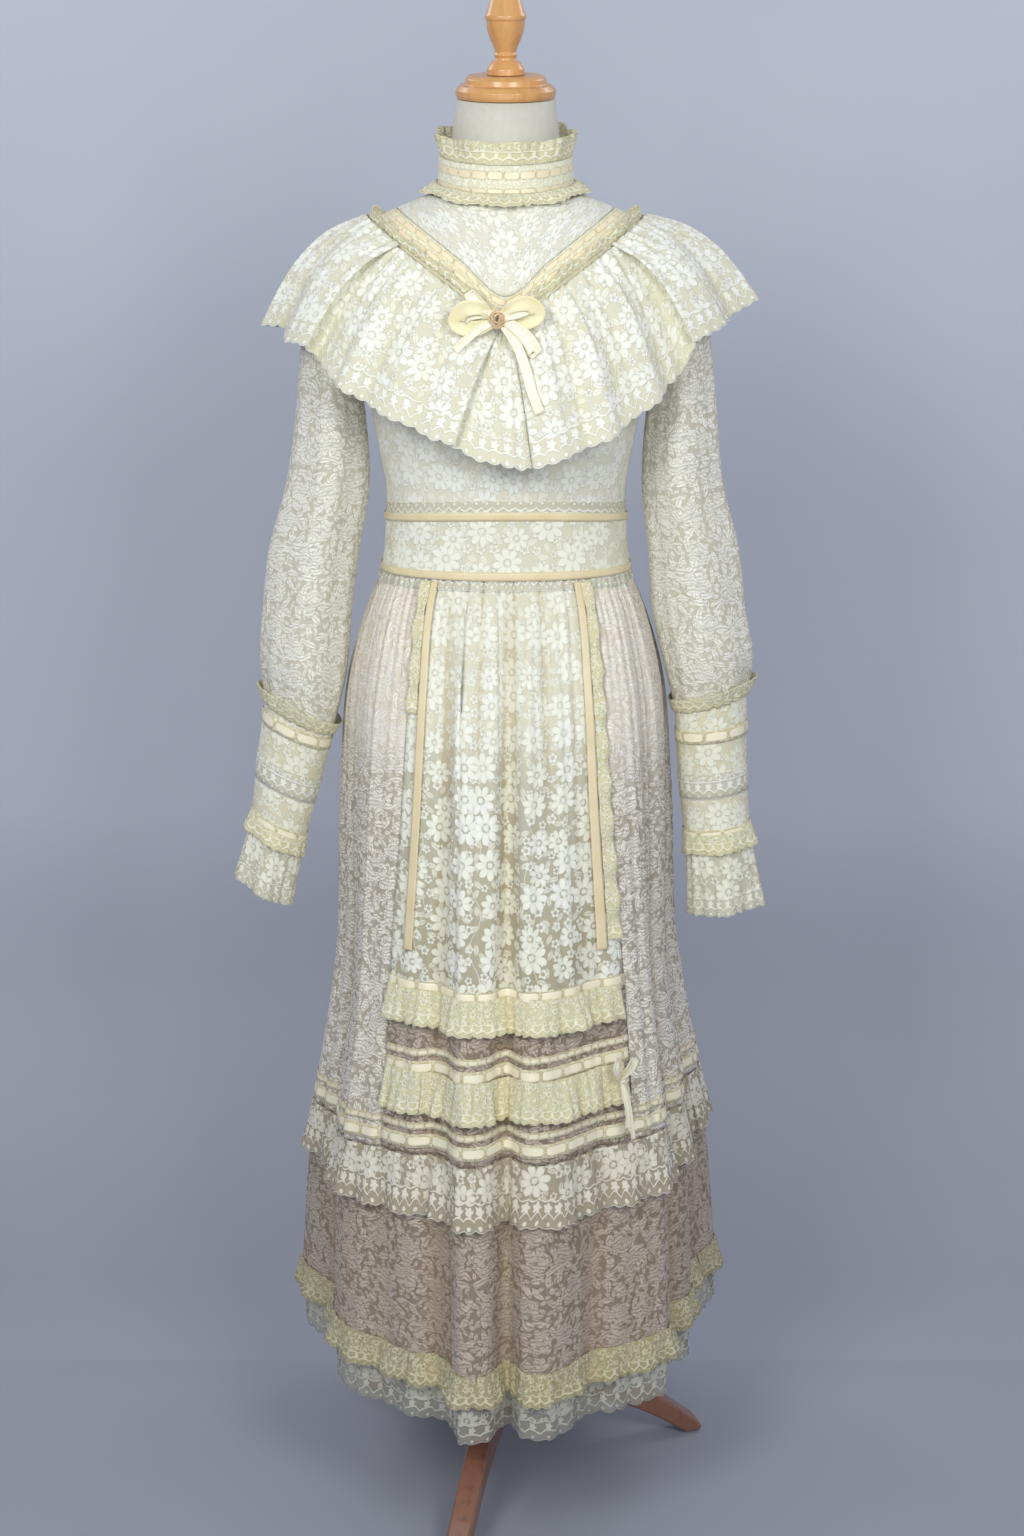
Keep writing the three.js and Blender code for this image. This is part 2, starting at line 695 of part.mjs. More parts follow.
// A point on the yoke trim: share 0 is its lower edge and share 1 its upper edge.
function trimPoint(x, back, share, out) {
  const side = back ? 'back' : 'front';
  const outer = yokeLines[`${side}Outer`];
  const t = Math.min(1, Math.abs(x) / outer.shoulder[0]);
  const angle = Math.sign(x || 1) * lineAngle(outer, t);
  const low = lerp(outer.apex[1], outer.shoulder[1], t);
  const z = lerp(low, lineHeight(yokeLines[`${side}Inner`], angle), share);
  return bodyPoint(back ? 180 - angle : angle, z, out);
}

// Each row: top edge at x on the yoke line; lower edge in space; how far it billows.
const capePanels = {
  cape_front_left: {
    back: false,
    rows: [
      { top: -4, x: -50, y: -164, z: 1205, billow: 5, fold: 0 },
      { top: -22, x: -70, y: -154, z: 1211, billow: 12, fold: 1 },
      { top: -40, x: -92, y: -150, z: 1221, billow: 6, fold: 0 },
      { top: -56, x: -114, y: -141, z: 1231, billow: 12, fold: 1 },
      { top: -72, x: -138, y: -126, z: 1243, billow: 6, fold: 0 },
      { top: -88, x: -160, y: -112, z: 1256, billow: 11, fold: 1 },
      { top: -102, x: -180, y: -94, z: 1272, billow: 6, fold: 0 },
      { top: -114, x: -191, y: -74, z: 1286, billow: 6, fold: 0.4 },
    ],
  },
  cape_front_centre: {
    back: false,
    rows: [
      { top: -9, x: -44, y: -155, z: 1199, billow: 0, fold: 0 },
      { top: -5, x: -26, y: -152, z: 1190, billow: 2, fold: 1 },
      { top: 0, x: -4, y: -157, z: 1184, billow: 4, fold: 0 },
      { top: 5, x: 16, y: -160, z: 1181, billow: 5, fold: 1 },
      { top: 10, x: 36, y: -155, z: 1185, billow: 2, fold: 0 },
    ],
  },
  cape_front_right: {
    back: false,
    rows: [
      { top: 4, x: 27, y: -166, z: 1181, billow: 5, fold: 0 },
      { top: 22, x: 52, y: -160, z: 1190, billow: 13, fold: 1 },
      { top: 40, x: 78, y: -152, z: 1200, billow: 6, fold: 0 },
      { top: 56, x: 103, y: -140, z: 1210, billow: 12, fold: 1 },
      { top: 72, x: 126, y: -124, z: 1226, billow: 6, fold: 0 },
      { top: 88, x: 148, y: -106, z: 1243, billow: 12, fold: 1 },
      { top: 102, x: 165, y: -92, z: 1258, billow: 6, fold: 0 },
      { top: 114, x: 178, y: -74, z: 1272, billow: 6, fold: 0.4 },
    ],
  },
  cape_back: {
    back: true,
    rows: [
      { top: -112, x: -182, y: 92, z: 1276, billow: 8, fold: 1 },
      { top: -96, x: -160, y: 108, z: 1262, billow: 5, fold: 0 },
      { top: -78, x: -138, y: 124, z: 1246, billow: 11, fold: 1 },
      { top: -60, x: -112, y: 132, z: 1234, billow: 5, fold: 0 },
      { top: -42, x: -86, y: 142, z: 1224, billow: 11, fold: 1 },
      { top: -24, x: -56, y: 142, z: 1216, billow: 5, fold: 0 },
      { top: -8, x: -26, y: 150, z: 1210, billow: 10, fold: 1 },
      { top: 10, x: 4, y: 144, z: 1207, billow: 5, fold: 0 },
      { top: 28, x: 36, y: 150, z: 1211, billow: 11, fold: 1 },
      { top: 46, x: 68, y: 140, z: 1218, billow: 5, fold: 0 },
      { top: 62, x: 98, y: 138, z: 1228, billow: 11, fold: 1 },
      { top: 80, x: 128, y: 120, z: 1241, billow: 5, fold: 0 },
      { top: 97, x: 156, y: 110, z: 1258, billow: 11, fold: 1 },
      { top: 112, x: 180, y: 92, z: 1274, billow: 8, fold: 0 },
    ],
  },
};

// Shoulder pieces run from front to back over the shoulder point.
const shoulderPanels = {
  cape_shoulder_left: [
    { top: 104, back: 0, x: -201, y: -90, z: 1297, billow: 14, fold: 0 },
    { top: 122, back: 0, x: -218, y: -60, z: 1300, billow: 18, fold: 1 },
    { top: 135, back: 0, x: -228, y: -26, z: 1312, billow: 15, fold: 0 },
    { top: 141, back: 0, x: -249, y: 2, z: 1314, billow: 21, fold: 1 },
    { top: 135, back: 1, x: -232, y: 28, z: 1310, billow: 15, fold: 0 },
    { top: 122, back: 1, x: -222, y: 56, z: 1300, billow: 18, fold: 1 },
    { top: 104, back: 1, x: -198, y: 74, z: 1292, billow: 12, fold: 0 },
  ],
  cape_shoulder_right: [
    { top: 104, back: 0, x: 189, y: -90, z: 1300, billow: 14, fold: 0 },
    { top: 122, back: 0, x: 215, y: -60, z: 1315, billow: 18, fold: 1 },
    { top: 135, back: 0, x: 232, y: -26, z: 1324, billow: 15, fold: 0 },
    { top: 141, back: 0, x: 256, y: 2, z: 1340, billow: 20, fold: 1 },
    { top: 135, back: 1, x: 238, y: 28, z: 1326, billow: 15, fold: 0 },
    { top: 122, back: 1, x: 222, y: 56, z: 1312, billow: 18, fold: 1 },
    { top: 104, back: 1, x: 196, y: 74, z: 1298, billow: 12, fold: 0 },
  ],
};

function capeSheet(tops, rows, levels, lift, columnsPerRow = 2) {
  const columns = (rows.length - 1) * columnsPerRow;
  const spread = (field, at) => {
    const low = Math.min(Math.floor(at), rows.length - 2);
    return lerp(rows[low][field], rows[low + 1][field], at - low);
  };
  const topAt = (at) => {
    const low = Math.min(Math.floor(at), rows.length - 2);
    return tops[low].clone().lerp(tops[low + 1], at - low);
  };
  return makeSheet(gridOf(levels, columns, (u, v) => {
    const at = u * (rows.length - 1);
    const top = topAt(at);
    const edge = new THREE.Vector3(spread('x', at), spread('y', at), spread('z', at));
    const outward = edge.clone().sub(top);
    outward.z = 0;
    outward.normalize();
    const fold = spread('fold', at) * 7 * v;
    const arch = spread('billow', at) * Math.sin(Math.PI * v ** 0.8);
    const point = top.clone().lerp(edge, v).addScaledVector(outward, arch * 0.75 + fold);
    point.z += arch * 0.6 + lift * (1 - v) ** 2;
    return point;
  }));
}

function addCape() {
  for (const [name, panel] of Object.entries(capePanels)) {
    const out = name === 'cape_front_centre' ? 1.8 : 3.6;
    const tops = panel.rows.map((row) => yokeLinePoint(row.top, panel.back, out));
    const perRow = panel.back ? 1 : 2;
    addSheet(name, capeSheet(tops, panel.rows, 4, 0, perRow), LACE, colours.cape);
  }
  for (const [name, rows] of Object.entries(shoulderPanels)) {
    const side = Math.sign(rows[0].x);
    const tops = rows.map((row) => yokeLinePoint(side * row.top, row.back === 1, 5.2));
    addSheet(name, capeSheet(tops, rows, 4, 3), LACE, colours.cape);
  }
  for (const side of [-1, 1]) addCapeHeading(side);
}

// Small standing ruffle over the gathers of the cape, from the V over the shoulder.
function addCapeHeading(side) {
  const columns = 20;
  const name = side < 0 ? 'cape_heading_left' : 'cape_heading_right';
  const sheet = makeSheet(gridOf(1, columns, (u, v) => {
    const along = lerp(20, 172, u);
    const back = along > 141;
    const wave = waveAt(u * columns);
    const x = side * (back ? 282 - along : along);
    const tip = trimPoint(x, back, 0.3, LACE + 4 + 6 * wave);
    tip.z += 4 + 3 * wave;
    return v === 0 ? trimPoint(x, back, 0.14, LACE + 2.4) : tip;
  }));
  addSheet(name, sheet, LACE, colours.trim);
}

// ---------------------------------------------------------------- sleeves
// Rings run from the armhole to the cuff: centre, lean of the ring, half sizes.
const sleeveRows = {
  left: [
    { x: -146, y: 0, z: 1341, lean: 90, across: 60, deep: 44 },
    { x: -155, y: 0, z: 1340, lean: 86, across: 58, deep: 45 },
    { x: -179, y: -1, z: 1318, lean: 58, across: 47, deep: 48 },
    { x: -182, y: -2, z: 1282, lean: 26, across: 32, deep: 51 },
    { x: -182, y: -3, z: 1225, lean: 8, across: 35, deep: 51 },
    { x: -187, y: -4, z: 1150, lean: 3, across: 42, deep: 53 },
    { x: -203, y: -6, z: 1080, lean: 2, across: 46, deep: 54 },
    { x: -211, y: -8, z: 1020, lean: 4, across: 46, deep: 55 },
    { x: -217, y: -11, z: 955, lean: 14, across: 46, deep: 54 },
    { x: -222, y: -13, z: 908, lean: 27, across: 41, deep: 42 },
  ],
  right: [
    { x: 146, y: 0, z: 1341, lean: 90, across: 60, deep: 44 },
    { x: 155, y: 0, z: 1340, lean: 86, across: 58, deep: 45 },
    { x: 179, y: -1, z: 1318, lean: 58, across: 47, deep: 48 },
    { x: 183, y: -2, z: 1282, lean: 26, across: 32, deep: 51 },
    { x: 183, y: -3, z: 1225, lean: 8, across: 36, deep: 51 },
    { x: 186, y: -4, z: 1150, lean: 3, across: 41, deep: 53 },
    { x: 199, y: -6, z: 1080, lean: 2, across: 46, deep: 54 },
    { x: 205, y: -8, z: 1020, lean: 0, across: 48, deep: 55 },
    { x: 217, y: -11, z: 960, lean: 6, across: 46, deep: 54 },
    { x: 220, y: -13, z: 925, lean: 15, across: 40, deep: 42 },
  ],
};

const cuffRows = {
  left: [
    { x: -222.2, y: -13, z: 907.6, lean: 27, across: 41, deep: 42 },
    { x: -232, y: -14, z: 862, lean: 27, across: 39, deep: 37 },
    { x: -241, y: -15, z: 815, lean: 27, across: 35, deep: 33 },
    { x: -250, y: -16, z: 772, lean: 28, across: 32, deep: 30 },
  ],
  right: [
    { x: 220.1, y: -13, z: 924.6, lean: 15, across: 40, deep: 42 },
    { x: 221, y: -14, z: 875, lean: 11, across: 38, deep: 37 },
    { x: 226, y: -15, z: 820, lean: 8, across: 37, deep: 34 },
    { x: 231, y: -16, z: 767, lean: 8, across: 36, deep: 31 },
  ],
};

function tubePoint(rows, at, angle, out, side) {
  const low = Math.max(0, Math.min(Math.floor(at), rows.length - 2));
  const t = at - low;
  const read = (field) => lerp(rows[low][field], rows[low + 1][field], t);
  const lean = read('lean') * TURN;
  const outer = new THREE.Vector3(side * Math.cos(lean), 0, Math.sin(lean));
  const reachAcross = (read('across') + out) * Math.cos(angle * TURN);
  const reachDeep = (read('deep') + out) * Math.sin(angle * TURN);
  const point = new THREE.Vector3(read('x'), read('y') - reachDeep, read('z'));
  return point.addScaledVector(outer, reachAcross);
}

function tubeSheet(rows, columns, levels, side, outAt, atOf) {
  const grid = gridOf(levels, columns, (u, v) => (
    tubePoint(rows, atOf(v), 360 * u, outAt(u, v), side)
  ));
  const centre = (point) => {
    const row = readTable(rows, 'z', point.z);
    return new THREE.Vector3(row.x, row.y, row.z);
  };
  return makeSheet(grid, { closed: true, centreAt: centre });
}

// Soft lengthwise folds of a full sleeve, none at the armhole.
const sleeveFolds = [
  { angle: 15, width: 16, depth: 3.5 },
  { angle: 58, width: 18, depth: -4 },
  { angle: 95, width: 16, depth: 4.5 },
  { angle: 136, width: 18, depth: -3.5 },
  { angle: 178, width: 18, depth: 2 },
  { angle: 222, width: 18, depth: -4 },
  { angle: 262, width: 18, depth: 4 },
  { angle: 310, width: 20, depth: -4 },
];

function sleeveFold(angle) {
  let depth = 0;
  for (const fold of sleeveFolds) {
    let away = angle - fold.angle;
    away -= 360 * Math.round(away / 360);
    depth += fold.depth * Math.exp(-((away / fold.width) ** 2));
  }
  return depth;
}

function addArm(label, side) {
  const rows = sleeveRows[label];
  const last = rows.length - 1;
  const swell = (v) => Math.sin(Math.PI * Math.min(1, Math.max(0, (v * last - 2) / (last - 2))));
  const sleeve = tubeSheet(rows, 14, last, side, (u, v) => swell(v) * sleeveFold(360 * u),
    (v) => v * last);
  addSheet(`sleeve_${label}`, sleeve, LACE, colours.rose);
  const cuffTable = cuffRows[label];
  const cuffLast = cuffTable.length - 1;
  const cuff = tubeSheet(cuffTable, 14, 2, side, () => 0, (v) => v * cuffLast);
  addSheet(`cuff_${label}`, cuff, LACE, colours.cuff);
  addCuffRuffle(`cuff_ruffle_${label}`, cuffTable, side, 20, (v, wave) => ({
    at: 0.12 - 0.34 * v,
    out: LACE + 0.6 + v * (4.5 + 8 * wave),
  }), 1);
  addCuffRuffle(`wrist_ruffle_${label}`, cuffTable, side, 20, (v, wave) => ({
    at: 2.78 + 0.42 * v,
    out: LACE + 0.6 + v * (1.5 + 8 * wave),
  }), 1);
  addCuffRuffle(`wrist_frill_${label}`, cuffTable, side, 20, (v, wave) => ({
    at: 3.009 + 1.5 * v,
    out: v * (3 + 13 * wave),
  }), 1);
}

function addCuffRuffle(name, rows, side, columns, shape, levels) {
  const grid = gridOf(levels, columns, (u, v) => {
    const room = 0.3 + 0.35 * (1 + Math.cos(2 * Math.PI * u));
    const { at, out } = shape(v, room * waveAt(u * columns));
    return tubePoint(rows, at, 360 * u, out, side);
  });
  const centre = (point) => {
    const row = readTable(rows, 'z', point.z);
    return new THREE.Vector3(row.x, row.y, point.z);
  };
  addSheet(name, makeSheet(grid, { closed: true, centreAt: centre }), LACE, colours.trim);
}

// ---------------------------------------------------------------- sash
function addSash() {
  const columns = 28;
  const topAt = (angle) => 1123 + 11 * Math.max(0, Math.cos(angle * TURN)) ** 1.5;
  const lowAt = () => 1061;
  const out = SATIN + 2.8;
  const sashPoint = (u, v, extra) => {
    const angle = 360 * u;
    return bodyPoint(angle, lerp(topAt(angle), lowAt(angle), v), out + extra);
  };
  const sash = makeSheet(gridOf(2, columns, (u, v) => sashPoint(u, v, 1.2 * v)), { closed: true });
  addSheet('sash', sash, SATIN, colours.bodice);
  const ribbon = (name, from, to) => {
    const sheet = makeSheet(gridOf(1, columns, (u, v) => (
      onSheet(sash, u * columns, lerp(from, to, v), SATIN + SEAM)
    )), { closed: true });
    addSheet(name, sheet, SATIN, colours.satin);
  };
  ribbon('sash_ribbon_top', 0.02, 0.26);
  ribbon('sash_ribbon_bottom', 1.74, 1.98);
}

// ---------------------------------------------------------------- skirt
const STEP = 360 / COLUMNS;

// A skirt panel between two columns, from one height to another.
function skirtSheet(from, to, levels) {
  const grid = levels.map((z) => {
    const row = [];
    for (let c = from - 1; c <= to + 1; c += 1) row.push(skirtPoint(c * STEP, z));
    return row;
  });
  return cropSheet(makeSheet(grid));
}

function addSkirt() {
  const half = PANEL_COLUMNS / 2;
  const quarter = COLUMNS / 4;
  const backHalf = 7;
  const upper = [1088, 1059, 1030, 955, 830, APRON_Z + SEAM];
  const lower = [APRON_Z, 560, TIER_Z + SEAM];
  const long = [...upper.slice(0, -1), APRON_Z, TIER_Z + SEAM];
  const front = skirtSheet(-half, half, upper);
  addSheet('skirt_front_panel', front, LACE, colours.bodice);
  const lowerFront = skirtSheet(-half, half, lower);
  addSheet('skirt_front_lower', lowerFront, LACE, colours.rose);
  const right = skirtSheet(half, 2 * quarter - backHalf, long);
  addSheet('skirt_side_right', right, LACE, colours.rose);
  const back = skirtSheet(2 * quarter - backHalf, 2 * quarter + backHalf, long);
  addSheet('skirt_back', back, LACE, colours.rose);
  const left = skirtSheet(2 * quarter + backHalf, COLUMNS - half, long);
  addSheet('skirt_side_left', left, LACE, colours.rose);
  addPanelTrims(front);
  addApronTrims(front, lowerFront);
  addBottomTier();
}

// Row positions about a given spacing apart, with every row of the panel among them.
function denseRows(sheet, from, to, spacing) {
  const places = [from];
  let at = from;
  while (at < to - 1e-6) {
    const row = Math.floor(at + 1e-6);
    const end = Math.min(row + 1, to);
    const length = sheet.grid[row][0].distanceTo(sheet.grid[row + 1][0]) * (end - at);
    const count = Math.max(1, Math.round(length / spacing));
    for (let k = 1; k <= count; k += 1) places.push(lerp(at, end, k / count));
    at = end;
  }
  return places;
}

// Ribbon and small ruffle down each side of the front panel.
function addPanelTrims(front) {
  const last = front.grid.length - 1;
  const columns = front.grid[0].length - 1;
  const out = LACE + 0.8;
  for (const side of [-1, 1]) {
    const label = side < 0 ? 'left' : 'right';
    const columnAt = (fromEdge) => (side < 0 ? fromEdge : columns - fromEdge);
    const ribbonRows = denseRows(front, 1.05, last - 0.25, 400);
    const ribbon = makeSheet(ribbonRows.map((row) => (
      [1.1, 1.72].map((place) => onSheet(front, columnAt(place), row, out))
    )));
    addSheet(`panel_ribbon_${label}`, ribbon, LACE, colours.satin);
    const reach = side < 0 ? 3.2 : 4.7;
    const ruffle = makeSheet(denseRows(front, 1.05, reach, 10).map((row, step) => (
      [1.02, 0.15].map((place, across) => {
        const wave = across * (0.5 + 0.5 * Math.sin((step * Math.PI) / 2));
        return onSheet(front, columnAt(place), row, out + 6 * wave);
      })
    )));
    addSheet(`panel_ruffle_${label}`, ruffle, LACE, colours.trim);
  }
}

// A ruffle that hangs from a line on a panel; its waves stand off the panel.
function hangingRuffle(sheet, { from, to, rowTop, rowBottom, levels, flare, depth, phase = 0 }) {
  const columns = (to - from) * 2;
  return makeSheet(gridOf(levels, columns, (u, v) => {
    const column = lerp(from, to, u);
    const wave = waveAt(u * columns + phase);
    const out = 2 * LACE + 0.8 + flare * v + depth * v * wave;
    return onSheet(sheet, column, lerp(rowTop, rowBottom, v), out);
  }));
}

// Filled in when the second ruffle is laid; the side bow is sewn to its right end.
let sideBowSeat = null;
const SIDE_KNOT = 5;

function addApronTrims(front, lowerFront) {
  const span = front.grid[0].length - 1;
  const lastRow = front.grid.length - 1;
  const apron = hangingRuffle(front, {
    from: 0.1, to: span - 0.1, rowTop: lastRow - 0.045, rowBottom: lastRow + 0.15, levels: 1,
    flare: 4, depth: 9,
  });
  addSheet('apron_ruffle', apron, LACE, colours.trim);
  const second = hangingRuffle(lowerFront, {
    from: 0.1, to: span - 0.1, rowTop: 0.92, rowBottom: 1.47, levels: 1, flare: 4, depth: 9,
    phase: 2,
  });
  addSheet('second_ruffle', second, LACE, colours.trim);
  sideBowSeat = onSheet(second, second.grid[0].length - 2, 0.35, SIDE_KNOT + SEAM);
}

function closedSkirt(levels, out, foldShare = () => 1, columns = COLUMNS) {
  const grid = levels.map((z) => {
    const row = [];
    for (let c = 0; c <= columns; c += 1) {
      row.push(skirtPoint((c * 360) / columns, z, out(z), foldShare(z)));
    }
    return row;
  });
  return makeSheet(grid, { closed: true });
}

// Takes half of a closed sheet, between two columns, as an open sheet with trimmed sides.
function halfSheet(sheet, from, to, columnsPer = 1) {
  const part = (field) => field.map((row) => {
    const count = row.length - 1;
    const kept = [];
    for (let c = from * columnsPer; c <= to * columnsPer; c += 1) {
      kept.push(row[((c % count) + count) % count].clone());
    }
    return kept;
  });
  return trimSides({ grid: part(sheet.grid), normals: part(sheet.normals), closed: false });
}

function addHalves(name, sheet, colour, columnsPer = 1) {
  const quarter = COLUMNS / 4;
  addSheet(`${name}_front`, halfSheet(sheet, -quarter, quarter, columnsPer), LACE, colour);
  addSheet(`${name}_back`, halfSheet(sheet, quarter, 3 * quarter, columnsPer), LACE, colour);
}

function ruffleRound(sheet, { rowTop, rowBottom, levels, flare, depth, phase = 0 }) {
  const columns = COLUMNS * 2;
  return makeSheet(gridOf(levels, columns, (u, v) => {
    const wave = waveAt(u * columns + phase);
    const out = 2 * LACE + flare * v + depth * v * wave;
    const column = u >= 1 ? 0 : u * COLUMNS;
    const strength = u >= 1 ? waveAt(phase) : wave;
    const reach = u >= 1 ? 2 * LACE + flare * v + depth * v * strength : out;
    return onSheet(sheet, column, lerp(rowTop, rowBottom, v), reach);
  }), { closed: true });
}

function addBottomTier() {
  const tier = closedSkirt([TIER_Z, 405, 320, HEM_Z], () => 0);
  addHalves('bottom_tier', tier, colours.rose);
  const flounce = ruffleRound(tier, {
    rowTop: 0.02, rowBottom: 0.86, levels: 1, flare: 4, depth: 10,
  });
  addHalves('flounce', flounce, colours.cape, 2);
  const hem = ruffleRound(tier, {
    rowTop: 2.74, rowBottom: 3.17, levels: 1, flare: 3, depth: 10, phase: 2,
  });
  addHalves('hem_ruffle', hem, colours.trim, 2);
  const liningOut = (z) => (z > 1050 ? -LACE - 0.35 : -5 - (22 * (1058 - z)) / (1058 - HEM_Z));
  const lining = closedSkirt([1056, 960, 640, 338], liningOut, () => 0, 28);
  addSheet('skirt_lining', lining, LACE, colours.lining);
  const inward = (z) => -5 - 21.5 * Math.max(0, (z - 262) / 76);
  const share = (z) => 1 - 0.9 * Math.max(0, (z - 262) / 76);
  const petticoat = closedSkirt([337, 262, PETTICOAT_Z], inward, share);
  addHalves('petticoat', petticoat, colours.sheer);
}

// ---------------------------------------------------------------- bows
// A ribbon strip along points, with its flat side facing a given direction.
function ribbonStrip(points, width, thickness, widthAt = () => 1) {
  const curve = new THREE.CatmullRomCurve3(points);
  const levels = 3;
  const rows = [];
  for (let i = 0; i <= levels; i += 1) {
    const t = i / levels;
    const centre = curve.getPointAt(t);
    const tangent = curve.getTangentAt(t);
    const across = new THREE.Vector3(0, -1, 0).cross(tangent).normalize();
    const half = (width / 2) * widthAt(t);
    rows.push([centre.clone().addScaledVector(across, half),
      centre.clone().addScaledVector(across, -half)]);
  }
  const sheet = makeSheet(rows, { centreAt: (p) => new THREE.Vector3(p.x, p.y + 10, p.z) });
  return toManifold(wallGeometry(sheet.grid, sheet.normals, thickness, false));
}

function addBow(name, centre, facing, strips, knotSize, colour) {
  const knotShape = new THREE.SphereGeometry(1, 8, 5);
  knotShape.scale(knotSize[0], knotSize[1], knotSize[2]);
  let bow = toManifold(weld(knotShape));
  for (const strip of strips) {
    const points = strip.points.map(([x, y, z]) => new THREE.Vector3(x, y, z));
    bow = bow.add(ribbonStrip(points, strip.width, SATIN, strip.widthAt));
  }
  const geometry = fromManifold(bow);
  geometry.rotateZ(facing * TURN);
  geometry.translate(centre.x, centre.y, centre.z);
  addMesh(name, geometry, colour);
}

const leaf = (t) => 0.45 + 0.75 * Math.sin(Math.PI * Math.min(1, t + 0.05));
const plain = () => 1;

function addBows() {
  addBow('bow_front', new THREE.Vector3(-8, -129.6, 1326), 0, [
    { points: [[0, 0, 0], [-16, -5, 10], [-25, -6, 24]], width: 12, widthAt: leaf },
    { points: [[0, 0, 0], [-16, -4, 4], [-34, -3, -4]], width: 17, widthAt: leaf },
    { points: [[0, 0, 0], [16, -6, 0], [30, -7, 7]], width: 12, widthAt: leaf },
    { points: [[0, 0, 0], [20, -5, -14], [40, -9, -34]], width: 20, widthAt: leaf },
    { points: [[0, 0, 0], [-20, -4, -12], [-42, -8, -30]], width: 9, widthAt: plain },
    { points: [[0, 0, 0], [22, -10, -28], [34, -20, -62], [42, -30, -92]], width: 12,
      widthAt: plain },
  ], [10, 7, 8], colours.cape);
  addBow('bow_side', sideBowSeat, 38, [
    { points: [[0, 0, 0], [-8, -4, 12], [-10, -5, 24]], width: 9, widthAt: leaf },
    { points: [[0, 0, 0], [8, -4, 10], [16, -5, 18]], width: 9, widthAt: leaf },
    { points: [[0, -3, 0], [-5, -12, -22], [-2, -14, -50]], width: 7, widthAt: plain },
    { points: [[0, -3, 0], [4, -14, -26], [6, -15, -66]], width: 7, widthAt: plain },
  ], [6, SIDE_KNOT, 6], colours.satin);
}

// ---------------------------------------------------------------- build
addForm();
addStand();
addBodice();
addCollar();
addCape();
addArm('left', -1);
addArm('right', 1);
addSash();
addSkirt();
addBows();

// The origin lies under the middle of the whole object, on the floor.
const bounds = new THREE.Box3().setFromObject(root);
root.position.set(-(bounds.min.x + bounds.max.x) / 2, -(bounds.min.y + bounds.max.y) / 2,
  -bounds.min.z);
root.updateMatrixWorld(true);

export default root;
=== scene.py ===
"""A high-necked lace dress on its dress form: fine cloth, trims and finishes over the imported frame.

Nearly every cloth piece is read from its frame wall as rows of points, drawn finer along smooth curves,
and given the gathers, scallops and lace that the frame's plain wall stands for. Units are metres.
"""

import math

import bmesh
import bpy
import numpy as np
from mathutils import Matrix, Vector


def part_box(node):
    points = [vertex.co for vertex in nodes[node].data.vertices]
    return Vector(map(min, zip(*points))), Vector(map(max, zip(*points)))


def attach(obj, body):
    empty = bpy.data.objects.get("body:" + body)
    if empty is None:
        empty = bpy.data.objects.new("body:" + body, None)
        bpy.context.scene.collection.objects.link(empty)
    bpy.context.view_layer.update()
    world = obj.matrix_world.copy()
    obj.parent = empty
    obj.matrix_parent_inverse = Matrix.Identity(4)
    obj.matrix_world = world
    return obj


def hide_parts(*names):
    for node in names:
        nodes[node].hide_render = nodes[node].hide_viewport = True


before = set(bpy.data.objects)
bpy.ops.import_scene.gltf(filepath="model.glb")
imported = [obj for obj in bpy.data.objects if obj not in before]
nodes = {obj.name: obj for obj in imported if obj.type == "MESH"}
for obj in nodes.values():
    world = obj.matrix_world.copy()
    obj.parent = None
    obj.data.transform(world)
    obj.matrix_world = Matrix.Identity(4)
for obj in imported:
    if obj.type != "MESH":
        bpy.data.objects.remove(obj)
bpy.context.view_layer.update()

MM = 0.001
UP = Vector((0, 0, 1))
LACE_THICK = 0.6 * MM
RIM_EDGE = 1.5 * MM  # edges shorter than this belong to the rim of a frame wall
pole_low, pole_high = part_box("pole")
AXIS = Vector(((pole_low.x + pole_high.x) / 2, (pole_low.y + pole_high.y) / 2, 0))
SEAM = Vector((0, 1, 0))  # rings of cloth start at the back
SEAM_LEAN = Vector((0.001, 0, 0.001))  # settles a limb's start where two points are equally far back
TURN = 6.283  # one full turn in radians
RIBBON_THICK = 0.4 * MM
BAND_ROWS = 5


# ---------------------------------------------------------------- small helpers
def new_mesh(name, shape):
    mesh = bpy.data.meshes.new(name)
    shape.to_mesh(mesh)
    shape.free()
    return mesh


def smooth_faces(mesh):
    mesh.polygons.foreach_set("use_smooth", np.ones(len(mesh.polygons), dtype=bool))


def put(name, data):
    """An object in the scene that shows a mesh, a lamp or a camera."""
    thing = bpy.data.objects.new(name, data)
    bpy.context.scene.collection.objects.link(thing)
    return thing



# ---------------------------------------------------------------- camera
CAMERA_DISTANCE = 2.26
CAMERA_HEIGHT = 1.404
CAMERA_ASIDE = 0.0064
CAMERA_PITCH = 14


def add_camera():
    lens = bpy.data.cameras.new("camera")
    lens.lens = 50
    lens.sensor_width = 36
    lens.clip_end = 40
    camera = put("camera", lens)
    camera.location = AXIS + Vector((CAMERA_ASIDE, -CAMERA_DISTANCE, CAMERA_HEIGHT))
    camera.rotation_euler = (math.radians(90 - CAMERA_PITCH), 0, 0)
    bpy.context.scene.camera = camera


